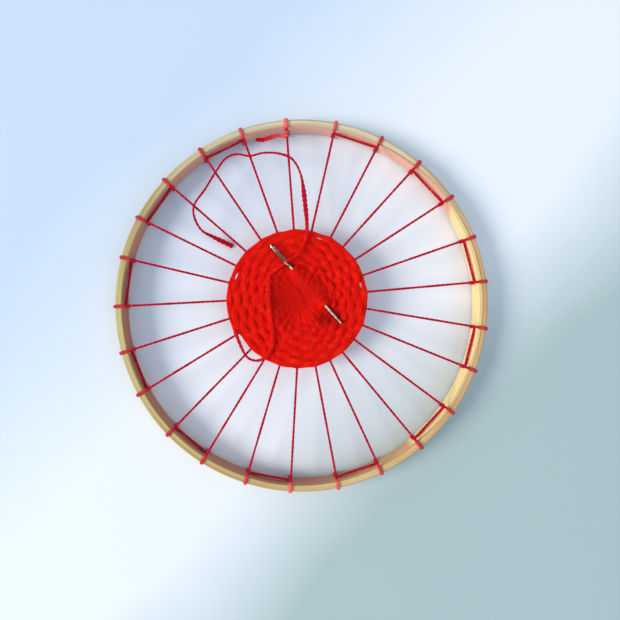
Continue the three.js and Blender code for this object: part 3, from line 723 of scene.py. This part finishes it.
def start_knot(spoke):
    """The first spoke and turn, the hitch round its own spoke, and the cut tail beside the inside wall."""
    run, turn = spoke_run(spoke), rim_turn(spoke)
    for row in run[-2:] + turn[:6]:
        row[6] *= FIRST_TURN_WIDER
    rows = run + turn
    aside = np.cross((0, 0, 1), spoke.away(1, 0))
    hitch = 2 * YARN_RADIUS + KNOT_GAP
    start = -(HOOP_WALL / 2 + KNOT_FROM_WALL)
    rows.append(stop(spoke.at(-WALL_TO_YARN, WARP_Z - hitch - KNOT_RISE), spoke.away(-1, 0)))
    for n in range(KNOT_STEPS + 1):
        turns = KNOT_TURNS * n / KNOT_STEPS
        radial = np.array([0, 0, -math.cos(turns * TAU)]) - aside * math.sin(turns * TAU)
        place = spoke.at(start - turns * KNOT_PITCH, WARP_Z) + radial * hitch
        rows.append(stop(place, radial, KNOT_HALF_WIDTH, painted_shade_and_tint=KNOT_PALE))
    for n, (left, along, over, half) in enumerate(TAIL_ROUTE):
        face = unit(aside + (0, 0, 1)) if n == 0 else (0, 0, 1)
        place = spoke.at(along, WARP_Z + over) + aside * left
        rows.append(stop(place, face, half, TAIL_HALF_THICK, min(-0.35 + 0.12 * n, 0.0)))
    return rows


def spoke_node(i):
    return f"warp_spoke_{i % len(spokes) + 1:02d}"


def make_warp():
    for i in range(len(spokes) // 2):
        a, b = START_SPOKE + 1 + 2 * i, START_SPOKE + 2 + 2 * i
        rows = warp_pair(spokes[a % len(spokes)], spokes[b % len(spokes)])
        piece = yarn_tube(f"warp_yarn_{i + 1:02d}", rows, WARP_YARN, seed=40 + i, phase=1.7 * i)
        settle(piece, "frame", "yarn", spoke_node(a), spoke_node(b), f"rim_turn_{i + 1:02d}")
    piece = yarn_tube("warp_start_knot", start_knot(spokes[START_SPOKE]), WARP_YARN, seed=60)
    settle(piece, "frame", "yarn", spoke_node(START_SPOKE), "start_knot")


# Cloth

weft_start = math.radians(WEFT_START_ANGLE)


def painted_shade_share(x, y):
    """How much shade is painted on the cloth at a place: in the listed places, and under the needle."""
    pressed = np.zeros_like(x)
    for at_x, at_y, half_x, half_y, strength in CLOTH_SHADES:
        off = ((x - at_x) / half_x) ** 2 + ((y - at_y) / half_y) ** 2
        pressed = pressed + strength * np.exp(-off ** 1.5)
    return pressed + under_needle(x, y)


def on_needle(x, y):
    """How far along the needle a place is, and how far to the left of its heading."""
    offset = np.stack([x - needle_head[0], y - needle_head[1]], axis=-1)
    return offset @ needle_along[:2] / math.cos(needle_dip), offset @ needle_level[:2]


def under_needle(x, y):
    """The shade under the parts of the needle that show, 0 away from them."""
    along, aside = on_needle(x, y)
    head, tip, left, half, fade = NEEDLE_SHADE
    near = head * plateau(along, -0.2, fade, RIDGE_START + 0.4, fade)
    far = tip * plateau(along, RIDGE_END, fade, NEEDLE_LENGTH + 0.2, fade)
    return (near + far) * np.exp(-((aside - left) / half) ** 4)


def cloth_radius(radius, heading):
    return radius + CLOTH_OFFSET[0] * np.cos(heading) + CLOTH_OFFSET[1] * np.sin(heading)


def strand_section():
    """Outline of two strands side by side, as shares of the half width and of the half thickness."""
    across = np.array([1, 0.96, 0.86, 0.7, 0.5, 0.3, 0.14, 0, -0.14, -0.3, -0.5, -0.7, -0.86, -0.96, -1])
    notch = STRAND_NOTCH_DEPTH * np.exp(-(across / STRAND_NOTCH_WIDTH) ** 2)
    top = np.sqrt(1 - np.abs(across) ** 2.4) - notch
    return np.array([[*across, *across[-2:0:-1]], [*top, *-top[-2:0:-1]]])


def strand_pair(name, stops):
    """Two strands of the yarn laid side by side along the stops, each rising and sinking a little in turn."""
    rows, at = resample(stops, WEFT_STEP)
    across, over = strand_section()[:, None]
    x = across * rows[:, 6:7] * (1 + wander(31, 0.05)(at)[:, None])
    tilt = wander(32, 0.16, 9, 9.0)(at)[:, None] * across * np.sign(over)
    y = (over + tilt) * rows[:, 7:8] * (1 + wander(33, 0.06)(at)[:, None])
    # Painted shade between the two strands
    painted_groove_shade = np.clip(1 - np.abs(across) / STRAND_GROOVE_WIDTH, 0, 1)
    painted_shade_and_tint = np.where(over > -0.3, rows[:, 8:9], np.minimum(rows[:, 8:9], BACK_TONE))
    attributes = {"painted_groove_shade": np.broadcast_to(painted_groove_shade, x.shape), "painted_shade_and_tint": painted_shade_and_tint}
    return tube_mesh(name, swept(rows, x, y), at, attributes, WEFT_YARN, "yarn")


def weft_crossings():
    """Angles at which the loose rows cross the spokes, the way each crosses, and the angle where they end."""
    end = math.radians(WEFT_END_ANGLE) + TAU * WEFT_TURNS
    crossings = []
    for turn in range(WEFT_TURNS + 1):
        for spoke in spokes:
            near = spoke.heading_at(CENTRE_RADIUS) + TAU * turn
            row = cloth_radius(WEFT_FIRST_RADIUS + WEFT_PITCH * (near - weft_start) / TAU, near)
            crossings.append(spoke.heading_at(row) + TAU * turn)
    crossings = np.array(sorted(a for a in crossings if weft_start < a < end))
    ways = np.where((len(crossings) - np.arange(len(crossings))) % 2 == 0, 1.0, -1.0)
    return crossings, ways, end


def make_weft():
    """Outer rows, two strands side by side: over one spoke and under the next, each row the other way."""
    crossings, ways, end = weft_crossings()
    begin = weft_start - WEFT_LEAD
    knots = np.concatenate([[begin], crossings, [end]])
    least, more, left = WEFT_STRENGTH
    strength = least + more * np.random.default_rng(43).random(len(crossings))
    strength = strength * np.where(crossings > end - 1.5 * TAU, left, 1.0)
    heights = np.concatenate([[-0.2], ways * WEFT_WAVE * strength, [0.0]])
    angles = np.linspace(begin, end + WEFT_RUN_ON, WEFT_SAMPLES)
    place = np.searchsorted(knots, angles, side="right").clip(1, len(knots) - 1)
    t = np.minimum((angles - knots[place - 1]) / (knots[place] - knots[place - 1]), 1)
    share = (1 - np.cos(np.pi * t)) / 2
    height = heights[place - 1] * (1 - share) + heights[place] * share
    turns = (angles - weft_start) / TAU
    rows = WEFT_FIRST_RADIUS + WEFT_PITCH * turns
    radius = cloth_radius(rows, angles) + wander(7, 0.4, 7, 5.0)(rows * (angles - weft_start))
    radius = radius - WEFT_TAUT * np.sin(np.pi * t)
    apart = np.zeros_like(angles)
    for degrees in ROW_GAPS:
        off = (angles - math.radians(degrees) + math.pi) % TAU - math.pi
        apart += np.exp(-(off / ROW_GAP_HALF) ** 2) * (angles > end - 2 * TAU)
    last_row = angles > end - TAU
    radius = radius + ROW_GAP_SHIFT * apart * np.where(last_row, 1.0, -1.0) - LAST_ROW_IN * last_row
    bulge, past, half = END_BULGE
    radius = radius + bulge * np.exp(-((angles - end + TAU - past) / half) ** 2)
    place = np.column_stack([
        HUB[0] + radius * np.cos(angles), HUB[1] + radius * np.sin(angles), WARP_Z + height,
    ])
    swell = (1 + 0.05 * height / WEFT_WAVE) * (1 - 0.3 * apart)
    tail = smooth_step((end - angles) / WEFT_TAPER)
    # Painted shade where the strand dives under a spoke, and in the listed places on the cloth
    dive = DIVE_TONE * smooth_step(-height / WEFT_WAVE) ** 1.5
    painted_shade_and_tint = np.clip(dive + painted_shade_share(place[:, 0], place[:, 1]), 0, 2)
    stops = np.column_stack([
        place, np.tile((0, 0, 1.0), (len(angles), 1)),
        WEFT_WIDTH / 2 * swell * (0.75 + 0.25 * tail), WEFT_THICKNESS / 2 * (0.7 + 0.3 * tail), painted_shade_and_tint,
    ])
    settle(strand_pair("weft_rows", stops), "frame", "yarn", "weft_spiral")


needle_heading = math.radians(NEEDLE_HEADING)
needle_dip = math.asin((EYE_Z - TIP_Z) / (NEEDLE_LENGTH - EYE_YARN_AT))
needle_along = np.array([
    math.cos(needle_heading) * math.cos(needle_dip),
    math.sin(needle_heading) * math.cos(needle_dip),
    -math.sin(needle_dip),
])
needle_level = unit(np.cross((0, 0, 1), needle_along))
needle_up = np.cross(needle_along, needle_level)
needle_head = np.array([*NEEDLE_HEAD, EYE_Z + EYE_YARN_AT * math.sin(needle_dip)])
needle_axes = np.column_stack([needle_along, needle_level, needle_up])


def row_count(radius):
    """How many rows lie inside a radius of the dense middle: fine ones by the hub, broad ones at its edge."""
    table = np.linspace(0, CENTRE_RADIUS + WEFT_PITCH + 1, 400)
    share = np.clip((table - CENTRE_FINE_RADIUS) / (CENTRE_RADIUS - CENTRE_FINE_RADIUS), 0, 1)
    rates = 1 / (CENTRE_FINE_PITCH + (WEFT_PITCH - CENTRE_FINE_PITCH) * share)
    counts = np.concatenate([[0.0], np.cumsum((rates[1:] + rates[:-1]) / 2 * np.diff(table))])
    return np.interp(radius, table, counts)


def weave(radius, angle, spoke, way):
    """Height of the weave in the dense middle: rounded rows, over and under in turn, and ribs on the spokes."""
    row = row_count(radius) - row_count(CENTRE_RADIUS) - (angle - weft_start) / TAU
    number = np.floor(row)
    across = 2 * (row - number) - 1
    wave = np.cos(np.pi * spoke) * np.where(number % 2 == 0, 1.0, -1.0) * way
    profile = np.sqrt(np.clip(1 - across ** 2, 0, 1)) - 0.75
    size = smooth_step((radius - WEAVE_START) / (CENTRE_RADIUS - WEAVE_START)) ** 1.6
    strengths = 0.3 + 1.4 * np.random.default_rng(41).random(len(spokes))
    strength = strengths[np.round(spoke).astype(int) % len(spokes)]
    ribs = (0.5 + 0.5 * np.cos(TAU * spoke)) * strength * radius * smooth_step(radius / 10.0)
    rows = wave * (WEAVE_WAVE[0] + WEAVE_WAVE[1] * size)
    return rows + profile * (WEAVE_ROUNDING[0] + WEAVE_ROUNDING[1] * size) + CENTRE_RIB_SLOPE * ribs


def centre_top(radius):
    climb = np.clip(radius / (CENTRE_RADIUS - CENTRE_RIM_WIDTH), 0, 1) ** CENTRE_DISH_STEEPER
    return CENTRE_DISH_HEIGHT + (CENTRE_RIM_HEIGHT - CENTRE_DISH_HEIGHT) * climb


def ridge_top(x, y):
    """Height over WARP_Z of the cloth that the needle lifts."""
    along, aside = on_needle(x, y)
    t = (along - RIDGE_START) / RIDGE_LENGTH
    bulge = np.sin(np.pi * np.clip(t, 0, 1)) ** 1.5
    foot = np.where(aside > 0, RIDGE_FAR_FOOT, RIDGE_NEAR_FOOT)
    mouth = np.where(aside > 0, RIDGE_FAR_MOUTH, RIDGE_NEAR_MOUTH)
    half = mouth + (foot - mouth) * bulge
    crest = needle_head[2] + along * needle_along[2] + RIDGE_CREST - WARP_Z
    share = np.clip(np.abs(aside) / half, 0, 1)
    bell = np.cos(share ** (1 / (1 + 0.35 * bulge)) * np.pi / 2) ** 1.5
    return (crest + RIDGE_SINK) * bell * plateau(t, -0.01, 0.045, 1.01, 0.045) - RIDGE_SINK


def flank_share(x, y):
    """1 along the near flank of the fold, 0 away from it."""
    along, aside = on_needle(x, y)
    return plateau(along, RIDGE_START, 6.0, RIDGE_END, 12.0) * plateau(-aside, -1.0, 2.0, 9.0, 5.0)


def cloth_waves(x, y):
    height = np.zeros_like(x)
    for at_x, at_y, radius, size in CLOTH_WAVES:
        height += size * np.exp(-((x - at_x) ** 2 + (y - at_y) ** 2) / radius ** 2 * 2)
    return height - CREASE_DEPTH * crease_share(x, y)


def crease_share(x, y):
    """1 along the crease beside the hub, 0 away from it."""
    a, b = np.array(CREASE)
    run = b - a
    t = np.clip(((x - a[0]) * run[0] + (y - a[1]) * run[1]) / (run @ run), 0, 1)
    away = (x - a[0] - t * run[0]) ** 2 + (y - a[1] - t * run[1]) ** 2
    return np.exp(-away / CREASE_WIDTH ** 2)


def make_centre():
    """The dense middle: one closed body, woven on both sides, with the fold over the needle."""
    count = len(spokes) * CENTRE_SAMPLES_PER_SPOKE
    headings = sorted(float(spoke.heading_at(CENTRE_RADIUS)) for spoke in spokes)
    ring = np.array([*headings, headings[0] + TAU])
    spoke_count = np.arange(count) / CENTRE_SAMPLES_PER_SPOKE
    angles = np.interp(spoke_count, np.arange(len(ring)), ring)
    edge_step = weft_start - 2 * CAD_CLEARANCE / CENTRE_RADIUS
    run_out = ((angles - edge_step) % TAU) / TAU
    edge = cloth_radius(CENTRE_RADIUS + WEFT_PITCH * run_out, angles) + CENTRE_LAP
    shares = np.linspace(0, 1, CENTRE_RINGS + 1)[1:, None]
    nominal = shares * CENTRE_RADIUS
    reach = nominal + (edge - CENTRE_RADIUS) * shares ** 2
    turn = np.broadcast_to(angles, reach.shape)
    x, y = HUB[0] + reach * np.cos(turn), HUB[1] + reach * np.sin(turn)
    rounding = ((shares - (1 - CENTRE_ROUNDING)) / CENTRE_ROUNDING).clip(0, 1)
    rim = np.sqrt(1 - rounding ** 2)
    crossings, ways, _end = weft_crossings()
    first = int(np.argmin(np.abs(np.array(headings) - crossings[0] % TAU)))
    pattern = weave(reach, turn, spoke_count, ways[0] * math.cos(math.pi * first))
    top = soft_max(centre_top(nominal) + cloth_waves(x, y), ridge_top(x, y), RIDGE_BLEND) + pattern
    top = (top - CENTRE_EDGE_Z) * rim + CENTRE_EDGE_Z
    hang = CENTRE_UNDERSIDE + CENTRE_UNDERSIDE_DROP * (1 - shares)
    below = (UNDERSIDE_LIFT - hang - pattern) * rim + CENTRE_EDGE_Z

    def on_points(hub, over, under, bottom):
        """Values in the order of the points: the hub, the rings on top, those below, and the hub below."""
        return np.concatenate([[hub], over.ravel(), under[:-1].ravel(), [bottom]])

    z = on_points(top[0].mean(), top, below, below[0].mean()) + WARP_Z
    points = np.column_stack([on_points(HUB[0], x, x, HUB[0]), on_points(HUB[1], y, y, HUB[1]), z])
    faces, uv = [], []

    def corner(ring_index, ray):
        return [ring_index * CENTRE_RADIUS / CENTRE_RINGS / 3, ray / CENTRE_SAMPLES_PER_SPOKE]

    def add(way, face, corners):
        faces.append([face[0], *face[1:][::way]])
        uv.extend([corners[0], *corners[1:][::way]])

    def cover(way, hub, rings):
        """Faces from the hub out, over rings given by their first points. They face down where way is -1."""
        for j in range(count):
            k = (j + 1) % count
            add(way, [hub, rings[0] + j, rings[0] + k], [corner(0, j + 0.5), corner(1, j), corner(1, j + 1)])
            for i, (a, b) in enumerate(zip(rings, rings[1:]), 1):
                corners = [corner(i, j), corner(i + 1, j), corner(i + 1, j + 1), corner(i, j + 1)]
                add(way, [a + j, b + j, b + k, a + k], corners)

    rings = [1 + level * count for level in range(2 * CENTRE_RINGS - 1)]
    cover(1, 0, rings[:CENTRE_RINGS])
    cover(-1, len(points) - 1, [*rings[CENTRE_RINGS:], rings[CENTRE_RINGS - 1]])
    # Painted shade in the low places of the weave
    painted_groove_shade = np.clip(0.5 - 2.2 * on_points(0.1, pattern, pattern, 0.1), 0, 1)
    # Painted shade: in the dish, on the near flank of the fold, in the listed places, under the needle and in
    # the crease, and an even painted shade on the back
    pressed = DISH_TONE * (1 - smooth_step(nominal / DISH_TONE_RADIUS)) + FLANK_TONE * flank_share(x, y)
    pressed = pressed + painted_shade_share(x, y) + CREASE_TONE * crease_share(x, y)
    tone = np.clip(pressed, 0, 2)
    tone = on_points(tone[0, 0], tone, np.full(tone.shape, BACK_TONE), BACK_TONE)
    painted_shade_and_tint = np.clip(np.maximum(painted_groove_shade * 1.6 - 0.9, 0) * (tone < 1) + tone, 0, 2)
    piece = show("woven_middle", points, faces, WEFT_YARN, "yarn", uv, {"painted_groove_shade": painted_groove_shade, "painted_shade_and_tint": painted_shade_and_tint})
    cut(piece, tunnel())
    settle(piece, "frame", "yarn", "woven_centre")


def tunnel():
    """The needle's hole through the fold, longer than the fold at both ends."""
    turns = TAU * np.arange(TUNNEL_SIDES) / TUNNEL_SIDES
    circle = np.column_stack([np.zeros(TUNNEL_SIDES), np.cos(turns), np.sin(turns)]) * TUNNEL_RADIUS
    ends = (RIDGE_START - TUNNEL_PAST_MOUTH, RIDGE_END + TUNNEL_PAST_MOUTH)
    rings = np.stack([circle + (x, 0, 0) for x in ends]) @ needle_axes.T + needle_head
    # Shade is painted on its walls, which line the hole that the cut leaves in the cloth
    inside = np.ones(2 * TUNNEL_SIDES)
    attributes = {"painted_groove_shade": inside, "painted_shade_and_tint": inside}
    return tube_mesh("tunnel", rings, np.array([0.0, 1.0]), attributes, WEFT_YARN, "yarn")


def cut(piece, cutter):
    """Takes the cutter out of the piece, and removes the cutter."""
    modifier = piece.modifiers.new("cut", "BOOLEAN")
    modifier.operation = "DIFFERENCE"
    modifier.solver = "EXACT"
    modifier.object = cutter
    graph = bpy.context.evaluated_depsgraph_get()
    mesh = bpy.data.meshes.new_from_object(piece.evaluated_get(graph))
    piece.modifiers.clear()
    piece.data = mesh
    bpy.data.objects.remove(cutter)


# Needle

def make_needle():
    """Blunt steel needle: a flat head with a long eye, a round shaft and a rounded tip."""
    shaft, wide, thick = SHAFT_DIAMETER / 2, HEAD_WIDTH / 2, HEAD_THICKNESS / 2
    nose = NOSE_DIAMETER / 2
    eye_end = EYE_START + EYE_LENGTH
    stations = np.array([
        [0.0, nose * 0.4, nose * 0.2], [0.1, nose * 1.1, nose * 0.6], [0.3, wide * 0.36, nose],
        [EYE_START / 3, wide * 0.58, (nose + thick) / 2], [EYE_START * 0.65, wide * 0.74, thick * 0.9],
        [EYE_START, wide * 0.86, thick], [EYE_START + EYE_LENGTH / 4, wide, thick],
        [eye_end - EYE_LENGTH / 5, wide, thick], [eye_end, wide * 0.86, thick * 1.05],
        [(eye_end + SHOULDER_END) / 2, wide * 0.7, thick * 1.3], [SHOULDER_END, shaft, shaft],
        *([NEEDLE_LENGTH - from_tip, radius, radius] for from_tip, radius in (
            (TAPER_LENGTH, shaft), (TAPER_LENGTH / 3, 0.6), (0.6, 0.46), (0.25, TIP_RADIUS * 0.95),
            (0.08, TIP_RADIUS * 0.65), (0, 0.1),
        )),
    ])
    places, half_widths, half_thicks = stations.T
    at = np.unique([*places, *np.linspace(0, NEEDLE_LENGTH, NEEDLE_RINGS)])
    angles = TAU * (np.arange(NEEDLE_SIDES) + 0.5) / NEEDLE_SIDES
    across = np.interp(at, places, half_widths)[:, None] * np.cos(angles)
    up = np.interp(at, places, half_thicks)[:, None] * np.sin(angles)
    rings = np.stack([np.broadcast_to(at[:, None], across.shape), across, up], axis=-1)
    # Painted shade: in the eye, and on the flanks away from the bright side
    in_eye = plateau(at, EYE_START + 2.0, 1.8, eye_end - 1.4, 1.2)
    dark, begins, grows = NEEDLE_FLANK
    from_top = np.abs((np.degrees(angles) - NEEDLE_BRIGHT_SIDE + 180) % 360 - 180)
    on_flank = dark * smooth_step((from_top - begins) / grows)
    painted_steel_shade = np.maximum(in_eye[:, None], on_flank)
    blank = tube_mesh("needle_steel", rings, at, {"painted_steel_shade": painted_steel_shade}, STEEL, "needle")
    turns = np.linspace(math.pi / 2, 1.5 * math.pi, 13)
    x, y = SLOT_HALF_WIDTH * (1 + np.cos(turns)), SLOT_HALF_WIDTH * np.sin(turns)
    outline = [*zip(EYE_START + x, y), *zip(eye_end - x, -y)]
    slot = np.array([[(*place, z) for place in outline] for z in (-2.0, 2.0)])
    cut(blank, tube_mesh("slot", slot, np.array([0.0, 1.0]), {}, STEEL, "needle"))
    roll = Matrix.Rotation(math.radians(-NEEDLE_ROLL), 4, "X")
    axes = Matrix(needle_axes.tolist()).to_4x4()
    axes.translation = (needle_head * MM).tolist()
    blank.data.transform(axes @ roll)
    blank.data.set_sharp_from_angle(angle=math.radians(CRISP_ANGLE))
    settle(blank, "needle", "needle_steel", "needle")


# Hoop

def waves_round(waves, turns):
    return sum(size * np.sin(number * turns + phase) for size, number, phase in waves)


def make_hoop():
    """A strip of wood on edge, bent round: softened edges, a wall that is not quite even, a scarf joint."""
    r = HOOP_EDGE_RADIUS
    arc = [math.radians(90 * n / HOOP_EDGE_STEPS) for n in range(HOOP_EDGE_STEPS + 1)]
    outer, inner, back, front = HOOP_OUTER_RADIUS - r, HOOP_INNER_RADIUS + r, HOOP_BACK_Z + r, HOOP_FRONT_Z - r
    right = math.pi / 2
    corners = [(outer, back, -right), (outer, front, 0), (inner, front, right), (inner, back, 2 * right)]
    rounds = [
        np.array([(x + r * math.cos(start + a), z + r * math.sin(start + a)) for a in arc])
        for x, z, start in corners
    ]
    between = np.linspace(0, 1, 6)[1:-1]
    profile, edge = [], []
    for n, points in enumerate(rounds):
        following = rounds[(n + 1) % 4][0]
        profile += [*points, *(points[-1] + (following - points[-1]) * share for share in between)]
        edge += [*(math.sin(2 * a) for a in arc), *np.zeros(len(between))]
    across, up = np.array(profile).T
    turns = TAU * np.arange(HOOP_SEGMENTS)[:, None] / HOOP_SEGMENTS
    degrees = (np.degrees(turns) + 180) % 360 - 180
    inward = 1 - (across - HOOP_INNER_RADIUS) / HOOP_WALL
    inside = smooth_step(inward * 4 - 3)
    layer_end = INNER_LAYER[1] - LAYER_SLANT * (1 - (up - HOOP_BACK_Z) / HOOP_DEPTH)
    in_layer = plateau(degrees, INNER_LAYER[0], 0.7, layer_end, 0.8)
    drift, wall, lift = (waves_round(waves, turns) for waves in (HOOP_DRIFT, HOOP_WALL_WAVES, HOOP_LIFT))
    radius = across + drift + wall * (0.5 - inward) - LAYER_STEP * in_layer * smooth_step(inward)
    z = up + lift * (up > HOOP_BACK_Z + HOOP_DEPTH / 2)
    from_seam = inward - np.interp(degrees, *np.array(SEAM).T)
    on_face = (up > HOOP_FRONT_Z - 0.5 * r) | (up < HOOP_BACK_Z + 0.5 * r)
    in_seam = (degrees > SEAM[0][0]) & (degrees < SEAM[-1][0])
    seam = np.where(on_face & in_seam, from_seam * HOOP_WALL, NO_SEAM)
    layer = np.where(on_face, smooth_step(from_seam * 6) * in_layer * 0.5, in_layer * inside)
    points = np.stack([radius * np.cos(turns), radius * np.sin(turns), z], axis=-1)
    sides = len(up)
    i, j = np.arange(HOOP_SEGMENTS)[:, None], np.arange(sides)
    i2, j2 = (i + 1) % HOOP_SEGMENTS, (j + 1) % sides
    faces = np.stack([i * sides + j, i2 * sides + j, i2 * sides + j2, i * sides + j2], axis=-1).reshape(-1, 4)
    attributes = {
        "edge": np.broadcast_to(edge, seam.shape), "seam": seam, "inner_layer": layer,
        "inner_wall": np.clip(inside - in_layer, 0, 1),
    }
    piece = show("hoop_strip", points.reshape(-1, 3), faces, WOOD, attributes=attributes)
    settle(piece, "frame", "hoop_wood", "hoop")


# Working yarn

def smooth_route(points, per_span):
    """A Catmull-Rom curve through the points, the ends taken on in a straight line."""
    points = np.asarray(points, float)
    padded = np.concatenate([[2 * points[0] - points[1]], points, [2 * points[-1] - points[-2]]])
    t = np.arange(per_span) / per_span
    out = []
    for a, b, c, d in zip(padded, padded[1:], padded[2:], padded[3:]):
        for s in t:
            out.append(0.5 * (
                2 * b + (c - a) * s + (2 * a - 5 * b + 4 * c - d) * s ** 2 + (3 * b - a - 3 * c + d) * s ** 3
            ))
    out.append(points[-1])
    return np.array(out)


def make_working_yarn():
    route = smooth_route([(x, y, WARP_Z + over) for x, y, over in YARN_ROUTE], ROUTE_STEPS)
    index = np.arange(len(route)) / ROUTE_STEPS
    spread = np.interp(index, *np.array(YARN_SPREAD).T)
    face = np.tile((0, 0, 1.0), (len(route), 1))
    laid = route.copy()
    laid[:, 2] -= YARN_SETTLE * plateau(index, *ON_CLOTH)
    upper_loop = smooth_step((index - 20.0) / 3.2) * (1 - 0.3 * smooth_step((index - 35.5) / 2.0))
    off_cloth = LOWER_LOOP_TONE * plateau(index, *LOWER_LOOP) + upper_loop
    stops = np.column_stack([laid, face, YARN_RADIUS * spread, YARN_RADIUS / np.sqrt(spread), off_cloth])
    piece = yarn_tube("loose_yarn", stops, FREE_YARN, FREE_YARN_STEP, seed=3, depth=FREE_PLY_DEPTH)
    settle(piece, "frame", "yarn", "working_yarn")


# Floor and light

def make_floor():
    paint = Paint("pale_floor")
    whole, x, y, _z = paint.place()
    across = paint.times(paint.math("SUBTRACT", x, y), math.sqrt(0.5))
    cloud = paint.times(paint.math("SUBTRACT", paint.noise(whole, 6.0, 2.0), 0.5), 0.06)
    across = paint.math("ADD", across, cloud)
    tone = paint.mix(paint.ramp(across, -0.13, -0.02), srgb(203, 216, 231), srgb(237, 239, 240))
    tone = paint.mix(paint.ramp(across, 0.05, 0.12), tone, srgb(174, 190, 187))
    paint.put(paint.shader, {"Base Color": tone, "Roughness": 0.9, "Specular IOR Level": 0.1})
    corners = [(x * FLOOR_HALF, y * FLOOR_HALF, 0) for x, y in ((-1, -1), (1, -1), (1, 1), (-1, 1))]
    floor = show("floor", corners, [[0, 1, 2, 3]], paint.material)


def make_lamp(name, place, size, watts, colour):
    data = bpy.data.lights.new(name, "AREA")
    data.shape = "DISK"
    data.size = size
    data.energy = watts
    data.color = colour
    lamp = place_object(name, data)
    lamp.location = place
    lamp.rotation_mode = "QUATERNION"
    lamp.rotation_quaternion = (-Vector(place)).to_track_quat("-Z", "Y")


def make_world():
    world = bpy.data.worlds.new("studio")
    bpy.context.scene.world = world
    world.use_nodes = True
    tree = world.node_tree
    light, seen = tree.nodes["Background"], tree.nodes.new("ShaderNodeBackground")
    for node, (colour, strength) in ((light, WORLD_LIGHT), (seen, WORLD_SEEN)):
        node.inputs["Color"].default_value = colour
        node.inputs["Strength"].default_value = strength
    path = tree.nodes.new("ShaderNodeLightPath")
    either = tree.nodes.new("ShaderNodeMath")
    either.operation = "MAXIMUM"
    mix = tree.nodes.new("ShaderNodeMixShader")
    for start, end in (
        (path.outputs["Is Camera Ray"], either.inputs[0]), (path.outputs["Is Glossy Ray"], either.inputs[1]),
        (either.outputs[0], mix.inputs[0]), (light.outputs[0], mix.inputs[1]), (seen.outputs[0], mix.inputs[2]),
        (mix.outputs[0], tree.nodes["World Output"].inputs["Surface"]),
    ):
        tree.links.new(start, end)


make_working_yarn()
make_hoop()
make_warp()
make_weft()
make_centre()
make_needle()
make_floor()
for lamp in LAMPS:
    make_lamp(*lamp)
make_world()
bpy.context.scene.view_settings.view_transform = "Standard"
